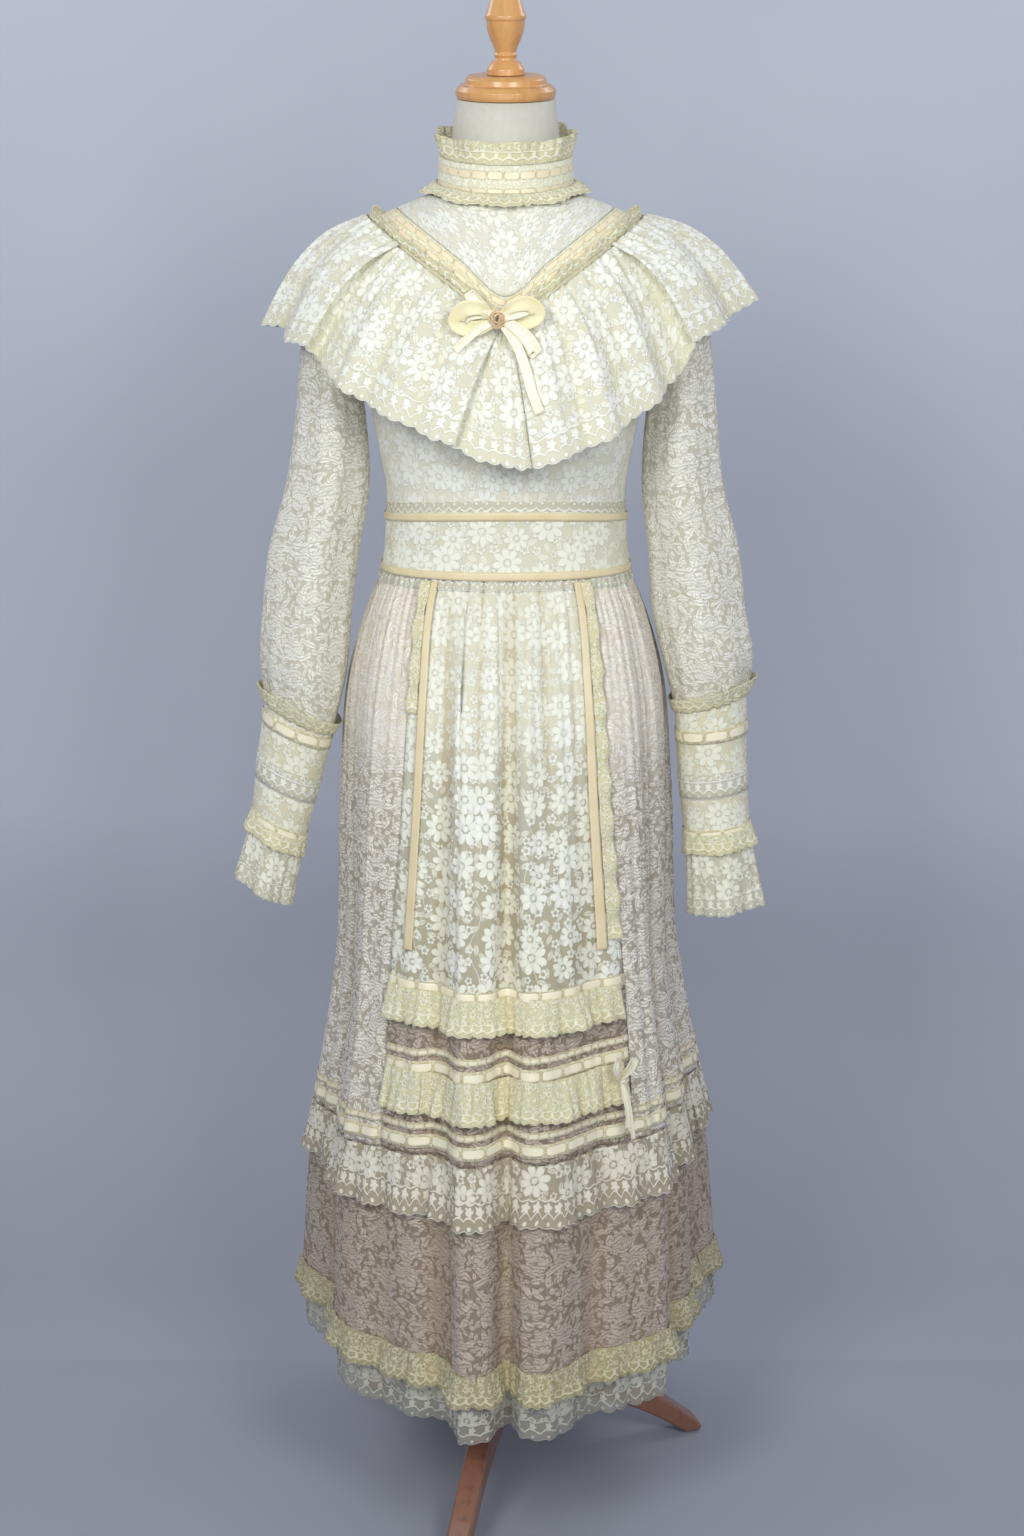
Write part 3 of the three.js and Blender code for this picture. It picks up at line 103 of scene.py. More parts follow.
# ---------------------------------------------------------------- node building
class Field:
    """A number that varies over a surface; arithmetic on it adds Math nodes."""

    def __init__(self, tree, socket):
        self.tree = tree
        self.socket = socket

    def step(self, operation, *others):
        """A Math node that takes this field first."""
        node = self.tree.nodes.new("ShaderNodeMath")
        node.operation = operation
        for place, value in enumerate((self, *others)):
            if isinstance(value, Field):
                self.tree.links.new(value.socket, node.inputs[place])
            else:
                node.inputs[place].default_value = value
        return Field(self.tree, node.outputs[0])

    def __add__(self, other):
        return self.step("ADD", other)

    def __sub__(self, other):
        return self.step("SUBTRACT", other)

    def __mul__(self, other):
        return self.step("MULTIPLY", other)

    def __truediv__(self, other):
        return self.step("DIVIDE", other)

    def above(self, limit, soft):
        """1 where the field is over the limit, 0 below, with a soft edge."""
        return ((self - limit) / soft + 0.5).step("MAXIMUM", 0).step("MINIMUM", 1)

    def below(self, limit, soft):
        return ((self * -1 + limit) / soft + 0.5).step("MAXIMUM", 0).step("MINIMUM", 1)

    def size(self):
        return self.step("ABSOLUTE")

    def larger(self, other):
        return self.step("MAXIMUM", other)

    def wave(self):
        """One swing of a sine for each whole number of the field."""
        return (self * TURN).step("SINE")

    def rest(self):
        """What is left of one."""
        return self * -1 + 1


def parts_of(tree, vector):
    split = tree.nodes.new("ShaderNodeSeparateXYZ")
    tree.links.new(vector, split.inputs[0])
    return [Field(tree, output) for output in split.outputs]


def noise_field(tree, vector, scale, detail=2.0):
    noise = tree.nodes.new("ShaderNodeTexNoise")
    noise.inputs["Scale"].default_value = scale
    noise.inputs["Detail"].default_value = detail
    tree.links.new(vector, noise.inputs["Vector"])
    return Field(tree, noise.outputs["Fac"])


# ---------------------------------------------------------------- motifs, each a shader group
GROUPS = {}


def shader_group(name, outputs, **numbers):
    """Builds a group at once from a function of its tree, its vector and its numbers."""
    def build(motif):
        group = bpy.data.node_groups.new(name, "ShaderNodeTree")
        group.interface.new_socket("Vector", in_out="INPUT", socket_type="NodeSocketVector")
        for label, value in numbers.items():
            socket = group.interface.new_socket(label, in_out="INPUT", socket_type="NodeSocketFloat")
            socket.default_value = value
        for label in outputs:
            group.interface.new_socket(label, in_out="OUTPUT", socket_type="NodeSocketFloat")
        start = group.nodes.new("NodeGroupInput")
        end = group.nodes.new("NodeGroupOutput")
        fields = [Field(group, start.outputs[label]) for label in numbers]
        for label, result in zip(outputs, motif(group, start.outputs["Vector"], *fields)):
            group.links.new(result.socket, end.inputs[label])
        GROUPS[name] = group
        return motif
    return build


def motif_cell(group, vector, pitch, scatter):
    """Repeat of a motif: its own x and y, distance from its middle, angle and two random numbers."""
    cells = group.nodes.new("ShaderNodeTexVoronoi")
    cells.voronoi_dimensions = "2D"
    cells.inputs["Randomness"].default_value = scatter
    group.links.new(vector, cells.inputs["Vector"])
    group.links.new(pitch.step("POWER", -1.0).socket, cells.inputs["Scale"])
    away = group.nodes.new("ShaderNodeVectorMath")
    away.operation = "SUBTRACT"
    group.links.new(vector, away.inputs[0])
    group.links.new(cells.outputs["Position"], away.inputs[1])
    x, y, _ = parts_of(group, away.outputs[0])
    colour = group.nodes.new("ShaderNodeSeparateColor")
    group.links.new(cells.outputs["Color"], colour.inputs[0])
    chance, other = Field(group, colour.outputs[0]), Field(group, colour.outputs[1])
    reach = (x * x + y * y).step("POWER", 0.5)
    angle = y.step("ARCTAN2", x) + chance * TURN
    return x, y, reach, angle, chance, other


@shader_group("blossoms", ("Mask", "Relief"), pitch=0.034, petals=7.0, fill=0.46)
def blossoms(group, vector, pitch, petals, fill):
    """Open flowers with round petals, a ring of holes and a solid eye."""
    _, _, reach, angle, _, other = motif_cell(group, vector, pitch, 0.55)
    petal = (angle * petals * 0.5).step("COSINE").size().step("POWER", 0.6)
    radius = pitch * fill * (other * 0.35 + 0.72) * (petal * 0.5 + 0.5)
    inside = (radius - reach).above(0, 0.0006)
    eye_hole = (reach - radius * 0.26).size().below(0.0007, 0.0005)
    slit = petal.below(0.22, 0.2) * reach.above(0.004, 0.002)
    mask = inside * eye_hole.rest() * (slit * -0.5 + 1)
    rim = (radius - reach).size().below(0.0011, 0.0008)
    return mask, mask * 0.6 + rim * 0.4 * inside


@shader_group("leaves", ("Mask", "Relief"), pitch=0.018, length=0.008, width=0.0032)
def leaves(group, vector, pitch, length, width):
    """Scattered pointed leaves with an open midrib."""
    x, y, _, _, chance, _ = motif_cell(group, vector, pitch, 0.8)
    turn = chance * TURN
    cosine, sine = turn.step("COSINE"), turn.step("SINE")
    along = (x * cosine + y * sine) / length
    across = (y * cosine - x * sine).size()
    half = (along * along).rest().larger(0) * width
    rib = across.below(0.0003, 0.0003)
    mask = (half - across).above(0, 0.0005) * (rib * -0.8 + 1)
    return mask, mask * 0.8


@shader_group("roses", ("Mask", "Relief"), pitch=0.06, fill=0.4, band=0.0042)
def roses(group, vector, pitch, fill, band):
    """Large full roses drawn as rings of ragged petals."""
    _, _, reach, angle, chance, other = motif_cell(group, vector, pitch, 0.5)
    ragged = (angle * 5.0 + reach * 260.0).step("COSINE") * 0.0016
    ragged = ragged + (angle * 3.0 + chance * 6.0).step("COSINE") * 0.0012
    radius = pitch * fill * (other * 0.3 + 0.75) + ragged
    inside = (radius - reach).above(0, 0.0006)
    rings = ((reach + ragged * 2.2) / band * TURN).step("COSINE")
    petals = (angle * 2.5 + (reach / band).step("FLOOR") * 2.4).step("COSINE")
    veins = rings.above(-0.75, 0.4).rest() * petals.above(-0.35, 0.5)
    gaps = rings.below(-0.6, 0.5) * petals.below(-0.35, 0.5)
    rim = (radius - reach).size().below(0.0010, 0.0006)
    mask = (inside * (veins * -0.75 + 1) * (gaps * -0.9 + 1)).larger(rim * inside)
    return mask, mask * 0.7 + rim * 0.3


@shader_group("net", ("Mask",), pitch=0.002, thread=0.3)
def net(group, vector, pitch, thread):
    """Fine diamond net: thread where the mask is 1."""
    x, y, _ = parts_of(group, vector)
    lines = [(way / pitch).step("FRACT").step("LESS_THAN", thread) for way in (x + y, x - y)]
    return (lines[0].larger(lines[1]),)


@shader_group("cords", ("Mask",), pitch=0.036, swing=0.005, wave=0.05, width=0.0011)
def cords(group, vector, pitch, swing, wave, width):
    """Wavy upright cords between the flowers."""
    x, y, _ = parts_of(group, vector)
    shift = (y / wave).wave() * swing
    place = ((x + shift) / pitch + 0.5).step("FRACT") * pitch
    offset = (place - pitch * 0.5).size()
    return (((offset - width) / 0.0005 * -1).step("MAXIMUM", 0).step("MINIMUM", 1),)


@shader_group("galloon", ("Mask", "Band", "Relief"), scallop=0.015, height=0.026)
def galloon(group, vector, scallop, height):
    """Lace edging that grows from a hem: scallop cords, dots, flowers and a straight foot."""
    x, rise, _ = parts_of(group, vector)
    place = (x / scallop).step("FRACT") - 0.5
    across = place * scallop
    band = (height - rise).above(0, 0.0008)
    dot_rise = rise - height * 0.16
    dot = (across * across + dot_rise * dot_rise).step("POWER", 0.5)
    dots = dot.below(height * 0.09, 0.0006)
    arch = (place * math.pi).step("COSINE") * height * 0.2 + height * 0.34
    cord = (rise - arch).size().below(0.0012, 0.0006)
    flower_rise = rise - height * 0.72
    flower = (across * across + flower_rise * flower_rise).step("POWER", 0.5)
    turn = flower_rise.step("ARCTAN2", across)
    petals = (turn * 2.5).step("COSINE").size() * 0.4 + 0.6
    flowers = (petals * height * 0.2 - flower).above(0, 0.0006)
    line = (rise - height * 0.97).size().below(0.001, 0.0004)
    foot = rise.below(height * 0.05, 0.0006)
    mask = dots.larger(cord).larger(flowers).larger(line).larger(foot) * band
    return mask, band, mask * 0.9


@shader_group("beading", ("Ribbon", "Edge"), middle=0.01, half=0.0035, slot=0.017)
def beading(group, vector, middle, half, slot):
    """A row of slots with ribbon showing between them, at a height in the band."""
    x, rise, _ = parts_of(group, vector)
    away = (rise - middle).size()
    place = ((x / slot + 0.5).step("FRACT") - 0.5).size()
    window = (place / 0.43).step("POWER", 6.0) + (away / half).step("POWER", 4.0)
    return window.below(1.0, 0.4), (window - 1.7).size().below(0.5, 0.4)


def linear(hex_colour):
    """Scene colour of a hex screen colour."""
    values = [((hex_colour >> shift) & 255) / 255 for shift in (16, 8, 0)]
    return [v / 12.92 if v <= 0.04045 else ((v + 0.055) / 1.055) ** 2.4 for v in values] + [1.0]


# ---------------------------------------------------------------- finishes
class Finish:
    """One material and short ways to add to it."""

    def __init__(self, name, roughness=0.85, sheen=0.0):
        self.material = bpy.data.materials.new(name)
        self.material.use_nodes = True
        self.tree = self.material.node_tree
        self.shader = self.tree.nodes["Principled BSDF"]
        self.set("Roughness", roughness)
        self.set("Sheen Weight", sheen)

    def set(self, label, value):
        self.shader.inputs[label].default_value = value

    def map(self, name):
        node = self.tree.nodes.new("ShaderNodeUVMap")
        node.uv_map = name
        return node.outputs[0]

    def solid_place(self):
        return self.tree.nodes.new("ShaderNodeTexCoord").outputs["Object"]

    def height(self):
        return parts_of(self.tree, self.solid_place())[2]

    def fold(self):
        """How far into a fold a point lies: 0 on a ridge, 1 in a trough; the lace finishes darken the
        troughs with painted shade by it.
        """
        node = self.tree.nodes.new("ShaderNodeAttribute")
        node.attribute_name = "fold"
        return Field(self.tree, node.outputs["Fac"])

    def noise(self, place, scale, detail=2.0):
        return noise_field(self.tree, place, scale, detail)

    def use(self, group, vector, **numbers):
        node = self.tree.nodes.new("ShaderNodeGroup")
        node.node_tree = GROUPS[group]
        self.tree.links.new(vector, node.inputs["Vector"])
        for label, value in numbers.items():
            node.inputs[label].default_value = value
        return {out.name: Field(self.tree, out) for out in node.outputs}

    def mix(self, share, first, second):
        """Colour between two hex colours or colour sockets."""
        node = self.tree.nodes.new("ShaderNodeMix")
        node.data_type = "RGBA"
        self.tree.links.new(share.socket, node.inputs["Factor"])
        for place, colour in ((6, first), (7, second)):
            if isinstance(colour, int):
                node.inputs[place].default_value = linear(colour)
            else:
                self.tree.links.new(colour, node.inputs[place])
        return node.outputs[2]

    def colour(self, socket):
        self.tree.links.new(socket, self.shader.inputs["Base Color"])

    def alpha(self, field):
        self.tree.links.new(field.socket, self.shader.inputs["Alpha"])

    def rough(self, field):
        self.tree.links.new(field.socket, self.shader.inputs["Roughness"])

    def relief(self, field, depth, strength=0.6):
        bump = self.tree.nodes.new("ShaderNodeBump")
        bump.inputs["Strength"].default_value = strength
        bump.inputs["Distance"].default_value = depth
        self.tree.links.new(field.socket, bump.inputs["Height"])
        self.tree.links.new(bump.outputs[0], self.shader.inputs["Normal"])


NET_PITCH = 0.0021
TONE_SCALE = 9.0  # of the slow drift between a thread's two shades


def lace_finish(name, thread, shade, gap, pattern, open_gap=1.0, edging=None, edge_height=0.0,
                fold_shade=0xCDBF97, fold_shade_share=0.55, high_gap=None, change_at=0.8, fade=0.03):
    """Lace: a pattern of solid thread on net. gap is the colour between threads where cloth lies behind,
    open_gap is how solid the ground is, deep is painted shade that fold_shade_share mixes into the fold
    troughs, and high_gap is the ground's colour above change_at, the height where a shorter underskirt ends
    within fade;
    below that height the darker gap is partly the cloth behind and partly painted shade of the skirt's
    inside."""
    finish = Finish(name, roughness=0.88, sheen=0.15)
    place = finish.map("cloth")
    ground_net = finish.use("net", place, pitch=NET_PITCH, thread=0.26)["Mask"]
    backed = None
    # Below change_at the gap colour is darker: partly the cloth behind, partly painted shade of the skirt's
    # inside; above it the paler underskirt backs the lace.
    if high_gap is not None:
        backed = (finish.height() - change_at).above(0, fade)
        gap = finish.mix(backed, gap, high_gap)
    solid, raised = pattern(finish, place)
    if edging:
        band = finish.use("galloon", finish.map("hem"), scallop=edging, height=edge_height)
        inner = band["Band"].rest()
        solid = solid * inner + band["Mask"]
        raised = raised * inner + band["Relief"]
    cover = solid.larger(ground_net * 0.45)
    # Painted shade: fold troughs darken the ground towards deep, and the thread half as much.
    trough = (finish.fold() - 0.5).larger(0) * (2 * fold_shade_share)
    cloth = finish.mix(trough * 0.5, finish.mix(finish.noise(place, TONE_SCALE), thread, shade), fold_shade)
    finish.colour(finish.mix(cover, finish.mix(trough, gap, fold_shade), cloth))
    if open_gap < 1.0:
        solidity = cover * (1.0 - open_gap) + open_gap
        finish.alpha(solidity.larger(backed) if backed else solidity)
    finish.relief(raised + ground_net * 0.15, 0.9 * MM, strength=0.8)
    return finish.material


def blossom_pattern(finish, place):
    large = finish.use("blossoms", place, pitch=0.033, petals=8.0, fill=0.5)
    small = finish.use("blossoms", place, pitch=0.0155, petals=5.0, fill=0.36)
    leaf = finish.use("leaves", place, pitch=0.013, length=0.006, width=0.0026)
    cord = finish.use("cords", place, pitch=0.038, swing=0.006, wave=0.07, width=0.0008)
    free = large["Mask"].rest()
    solid = large["Mask"].larger(small["Mask"] * free).larger(cord["Mask"] * 0.9)
    raised = large["Relief"].larger(small["Relief"] * free).larger(cord["Mask"] * 0.8)
    return solid.larger(leaf["Mask"] * free * 0.8), raised


def rose_pattern(finish, place):
    rose = finish.use("roses", place, pitch=0.039, fill=0.37, band=0.0042)
    leaf = finish.use("leaves", place, pitch=0.0145, length=0.0095, width=0.0034)
    sprig = finish.use("leaves", place, pitch=0.0075, length=0.0046, width=0.0019)
    cord = finish.use("cords", place, pitch=0.022, swing=0.007, wave=0.048, width=0.0006)
    free = rose["Mask"].rest()
    solid = rose["Mask"].larger(leaf["Mask"] * free).larger(sprig["Mask"] * free)
    _, height, _ = parts_of(finish.tree, place)
    slits = (height / 0.0048 + finish.noise(place, 60.0) * 5.0).wave().above(0.55, 0.5)
    raised = rose["Relief"].larger(leaf["Relief"] * free).larger(cord["Mask"] * 0.5)
    return (solid * (slits * -0.5 + 1)).larger(cord["Mask"] * 0.8), raised


def ruffle_pattern(finish, place):
    sprig = finish.use("leaves", place, pitch=0.007, length=0.0034, width=0.0017)
    dot = finish.use("blossoms", place, pitch=0.009, petals=5.0, fill=0.42)
    return sprig["Mask"].larger(dot["Mask"]), sprig["Relief"].larger(dot["Relief"])


def beaded_finish(name, thread, shade, gap, ribbon, rows, slot=0.017, half=0.0035):
    """Insertion lace with ribbon drawn through slots; rows are heights above the lower edge."""
    finish = Finish(name, roughness=0.85, sheen=0.15)
    place = finish.map("cloth")
    hem = finish.map("hem")
    ground_net = finish.use("net", place, pitch=NET_PITCH, thread=0.3)["Mask"]
    solid, raised = ruffle_pattern(finish, place)
    cover = solid.larger(ground_net * 0.5)
    colour = finish.mix(cover, gap, finish.mix(finish.noise(place, TONE_SCALE), thread, shade))
    rough = cover * 0.0 + 0.86  # lace all over, until the ribbons take from it
    for height in rows:
        bead = finish.use("beading", hem, middle=height, half=half, slot=slot)
        colour = finish.mix(bead["Edge"] * 0.7, colour, SLOT_EDGE)
        colour = finish.mix(bead["Ribbon"], colour, ribbon)
        rough = rough - bead["Ribbon"] * 0.5
        raised = raised.larger(bead["Ribbon"] * 1.4).larger(bead["Edge"])
    finish.colour(colour)
    finish.rough(rough)
    finish.relief(raised, 0.8 * MM)
    return finish.material


def satin_finish(name, light, dark, roughness=0.32):
    """Ribbon with fine cross threads and a streaked shine."""
    finish = Finish(name, roughness=roughness, sheen=0.1)
    finish.set("Anisotropic", 0.5)
    place = finish.map("cloth")
    weave = (parts_of(finish.tree, place)[0] / 0.0006).wave() * 0.5 + 0.5
    soft = finish.noise(place, 40.0)
    finish.colour(finish.mix(soft, light, dark))
    finish.rough(soft * 0.2 + (roughness - 0.08))
    finish.relief(weave * 0.3 + soft, 0.5 * MM, strength=0.25)
    return finish.material


def plain_cloth_finish(name, light, dark, pitch=0.0009):
    """A plain weave seen close: over and under threads and soft slubs."""
    finish = Finish(name, roughness=0.9, sheen=0.1)
    place = finish.solid_place()
    x, y, z = parts_of(finish.tree, place)
    across, upright = ((x + y) / pitch).wave(), (z / pitch).wave()
    slub = finish.noise(place, 160.0, detail=4.0)
    cloud = finish.noise(place, 12.0)
    finish.colour(finish.mix(slub * 0.5 + cloud * 0.5, light, dark))
    finish.relief(across * upright * 0.3 + slub, 0.4 * MM, strength=0.4)
    return finish.material


def wood_finish(name, light, dark):
    """Turned or sawn wood: long grain, fine pores and a clear coat."""
    finish = Finish(name, roughness=0.35)
    finish.set("Coat Weight", 0.4)
    finish.set("Coat Roughness", 0.2)
    mapping = finish.tree.nodes.new("ShaderNodeMapping")
    mapping.inputs["Scale"].default_value = (1.0, 1.0, 0.12)  # drawn out along the grain
    finish.tree.links.new(finish.solid_place(), mapping.inputs["Vector"])
    rings = finish.noise(mapping.outputs[0], 84.0, detail=6.0)
    pores = finish.noise(mapping.outputs[0], 840.0)
    grain = (rings * 9.0).step("SINE") * 0.5 + 0.5
    finish.colour(finish.mix(grain * 0.6 + pores * 0.4, light, dark))
    finish.rough(pores * 0.15 + 0.3)
    finish.relief(pores, 0.15 * MM, strength=0.3)
    return finish.material


CREAM, CREAM_SHADE = 0xFAF9EC, 0xF1EED6
WHITE, WHITE_SHADE = 0xFCFCF5, 0xF4F2E3
PINK, PINK_SHADE = 0xFFFAF1, 0xF8EEE0
GREENISH, GREENISH_SHADE = 0xFBF9E8, 0xF7EFC8
PALE_GAP, PINK_GAP, EDGING_GAP = 0xDAD3BB, 0xE0D3C0, 0xE2DBC2
RIBBON, RIBBON_DARK = 0xF0E1BF, 0xDDC99C
SLOT_EDGE = 0xC9BC93
RUFFLE_EDGE = {"open_gap": 0.75, "edging": 0.013, "edge_height": 0.013}

# The deep colours of the lace finishes below are painted shade for their fold troughs.
finishes = {
    "blossom": lace_finish("blossom_lace", WHITE, WHITE_SHADE, 0xE2DCC8, blossom_pattern),
    "blossom_open": lace_finish(
        "blossom_lace_open", WHITE, CREAM_SHADE, 0xC4B694, blossom_pattern, open_gap=0.6,
        fold_shade=0xBFAA80, fold_shade_share=0.7, high_gap=0xDDD6BE, change_at=0.80, fade=0.24),
    "cape": lace_finish(
        "cape_lace", WHITE, WHITE_SHADE, 0xE3DDC2, blossom_pattern, open_gap=0.9,
        edging=0.015, edge_height=0.027, fold_shade=0xE6DFB6, fold_shade_share=0.5),
    "rose": lace_finish(
        "rose_lace", PINK, PINK_SHADE, 0xCDBFA9, rose_pattern, open_gap=0.45,
        fold_shade=0xC0AA84, fold_shade_share=0.7, high_gap=PINK_GAP, change_at=0.84, fade=0.12),
    # A darker copy of the rose lace: painted shade for the lower skirt and bottom tier, where less light
    # falls.
    "rose_shaded": lace_finish(
        "rose_lace_shaded", 0xD9CABD, 0xC3B1A1, 0x9C8970, rose_pattern, open_gap=0.5,
        fold_shade=0xA98F69, fold_shade_share=0.7),
    "sleeve": lace_finish(
        "sleeve_lace", 0xFBF9F1, 0xF6F2E4, 0xE0D8C0, rose_pattern, open_gap=0.6, fold_shade=0xD8CDAC),
    "cuff": lace_finish("cuff_lace", CREAM, CREAM_SHADE, 0xDBD1B2, blossom_pattern),
    "sash": lace_finish("sash_lace", WHITE, CREAM_SHADE, PALE_GAP, blossom_pattern),
    "flounce": lace_finish(
        "flounce_lace", 0xF3EDDF, 0xE6DCC8, 0xB9A98C, blossom_pattern,
        open_gap=0.55, edging=0.014, edge_height=0.03, fold_shade=0xC4B496),
    "ruffle": lace_finish(
        "ruffle_lace", GREENISH, GREENISH_SHADE, 0xE8DFB2, ruffle_pattern, fold_shade=0xE6D598, **RUFFLE_EDGE),
    # A darker copy of the ruffle lace: painted shade for the hem ruffles, where less light falls.
    "ruffle_shaded": lace_finish(
        "ruffle_lace_shaded", 0xE6E1C8, 0xD6CBA2, 0xB3A67A, ruffle_pattern, fold_shade=0xC6B47E, **RUFFLE_EDGE),
    "frill": lace_finish(
        "frill_lace", CREAM, CREAM_SHADE, 0xE2DBC0, blossom_pattern,
        open_gap=0.6, edging=0.012, edge_height=0.02),
    "edging": lace_finish(
        "edging_lace", WHITE, WHITE_SHADE, EDGING_GAP, ruffle_pattern,
        open_gap=0.7, edging=0.012, edge_height=0.02),
    "petticoat": lace_finish(
        "petticoat_lace", 0xD9D6CA, 0xC0BCAC, 0xA9A594, blossom_pattern,
        open_gap=0.3, edging=0.018, edge_height=0.022, fold_shade=0xB5AE9A),
    "collar": beaded_finish("collar_lace", CREAM, CREAM_SHADE, 0xDCD4B4, RIBBON, (0.008, 0.0245)),
    "yoke_trim": beaded_finish(
        "yoke_trim_lace", CREAM, 0xF2EBCB, 0xDCCFA2, RIBBON, (0.006, 0.0165), half=0.0028),
    "beaded": beaded_finish(
        "beading_lace", 0xF9F3DE, 0xEDE3C4, 0xC6B88F, 0xF9F0D4, (0.0075,), slot=0.027, half=0.0044),
    "narrow_beaded": beaded_finish(
        "narrow_beading_lace", 0xF3EBD6, 0xE6DABC, 0xB9AA82, 0xF1E6CB, (0.004,), slot=0.011, half=0.0021),
    "satin": satin_finish("satin_ribbon", RIBBON, RIBBON_DARK),
    "bow": satin_finish("bow_ribbon", 0xFBF5E2, 0xEFE4C4, roughness=0.28),
    "organza": satin_finish("organza_ribbon", 0xF6EDC9, 0xE8DBA8, roughness=0.5),
    "rosette": satin_finish("rosette_ribbon", 0xF9EBCB, 0xEBC7A4, roughness=0.4),
    "lining": plain_cloth_finish("lining_cloth", 0xC0AC86, 0xA08B66),
    "linen": plain_cloth_finish("linen_cover", 0xDBD8CE, 0xC2BDB0, pitch=0.0012),
    "pale_wood": wood_finish("pale_wood", 0xE0A96C, 0xB97C41),
    "red_wood": wood_finish("red_wood", 0x9A6A55, 0x6E4436),
}


# ---------------------------------------------------------------- reading a wall of the frame
def merged_node(name):
    shape = bmesh.new()
    shape.from_mesh(nodes[name].data)
    bmesh.ops.remove_doubles(shape, verts=shape.verts, dist=0.02 * MM)
    return shape


def keep_outer_wall(shape, centre):
    """Leave only the wall that faces away from centre; the rim and the inner wall go."""
    rim = [f for f in shape.faces if min(e.calc_length() for e in f.edges) < RIM_EDGE]
    bmesh.ops.delete(shape, geom=rim, context="FACES")
    waiting = set(shape.faces)
    walls = []
    while waiting:
        wall, edge = [], [waiting.pop()]
        while edge:
            face = edge.pop()
            wall.append(face)
            for near in (f for e in face.edges for f in e.link_faces if f in waiting):
                waiting.discard(near)
                edge.append(near)
        walls.append(wall)

    def outward(wall):
        away = 0.0
        for face in wall:
            reach = face.calc_center_median() - centre
            away += face.normal.dot(Vector((reach.x, reach.y, 0))) * face.calc_area()
        return away

    best = max(walls, key=outward)
    kept = set(best)
    bmesh.ops.delete(shape, geom=[f for f in shape.faces if f not in kept], context="FACES")
    return shape


def border_loops(shape):
    """Closed chains of border vertices."""
    following = {}
    for edge in shape.edges:
        if edge.is_boundary:
            for vert in edge.verts:
                following.setdefault(vert, []).append(edge.other_vert(vert))
    loops = []
    unused = set(following)
    while unused:
        start = unused.pop()
        loop, last = [start], None
        for _ in range(len(following)):
            choices = [v for v in following[loop[-1]] if v != last]
            step, last = choices[0], loop[-1]
            if step == start:
                break
            loop.append(step)
            unused.discard(step)
        loops.append(loop)
    return loops


def near_verts(vert):
    return [edge.other_vert(vert) for edge in vert.link_edges]


def height_along(verts, up):
    return sum(v.co.dot(up) for v in verts) / len(verts)


def open_rows(shape, up):
    """Rows of a four-sided sheet, highest first along up."""
    loop = border_loops(shape)[0]
    corners = [i for i, v in enumerate(loop) if len(v.link_edges) <= 3]
    if len(corners) != 4:
        raise ValueError(f"{len(corners)} corners")
    loop = loop[corners[0]:] + loop[:corners[0]]
    turns = [c - corners[0] for c in corners] + [len(loop)]
    sides = [(loop + loop[:1])[turns[i]:turns[i + 1] + 1] for i in range(4)]
    top = max(range(4), key=lambda i: height_along(sides[i], up))
    rows = [sides[top]]
    left = sides[top - 1][::-1][1:]
    used = set(rows[0])
    for first in left:
        new = [first]
        used.add(first)
        above = rows[-1]
        for column in range(1, len(above)):
            beside = set(near_verts(new[-1])) & set(near_verts(above[column]))
            free = [v for v in beside if v not in used]
            new.append(free[0])
            used.add(free[0])
        rows.append(new)
    return rows


def ring_rows(shape, up, seam):
    """Rows of a closed sheet, highest first along up, each starting at the seam."""
    loops = border_loops(shape)
    top = max(loops, key=lambda loop: height_along(loop, up))
    middle = sum((v.co for v in top), Vector()) / len(top)
    start = max(range(len(top)), key=lambda i: (top[i].co - middle).normalized().dot(seam))
    rows = [top[start:] + top[:start]]
    used = set(rows[0])
    total = len(shape.verts) // len(top)
    for _ in range(total - 1):
        above = rows[-1]
        best = None
        for first in (v for v in near_verts(above[0]) if v not in used):
            new, taken = [first], {first}
            for column in range(1, len(above)):
                beside = set(near_verts(new[-1])) & set(near_verts(above[column]))
                free = [v for v in beside if v not in used and v not in taken]
                if not free:
                    break
                new.append(free[0])
                taken.add(free[0])
            if len(new) == len(above):
                drop = sum((a.co - b.co).length for a, b in zip(above, new))
                if best is None or drop < best[0]:
                    best = (drop, new)
        rows.append(best[1])
        used.update(best[1])
    return rows


def wall_grid(name, centre=AXIS):
    """Points of a node's outer wall, rows from the top down and columns so that faces look outwards."""
    shape = keep_outer_wall(merged_node(name), centre)
    closed = len(border_loops(shape)) > 1
    seam = SEAM + SEAM_LEAN * float(np.sign(centre.x - AXIS.x))
    rows = ring_rows(shape, UP, seam) if closed else open_rows(shape, UP)
    outward = sum((f.normal * f.calc_area() for f in rows[0][0].link_faces), Vector())
    step = rows[0][1].co - rows[0][0].co
    down = rows[1][0].co - rows[0][0].co
    flip = step.cross(-down).dot(outward) < 0
    points = np.array([[v.co[:] for v in row] for row in rows])
    shape.free()
    if flip:
        points = np.concatenate([points[:, :1], points[:, :0:-1]], axis=1) if closed else points[:, ::-1]
    return points, closed


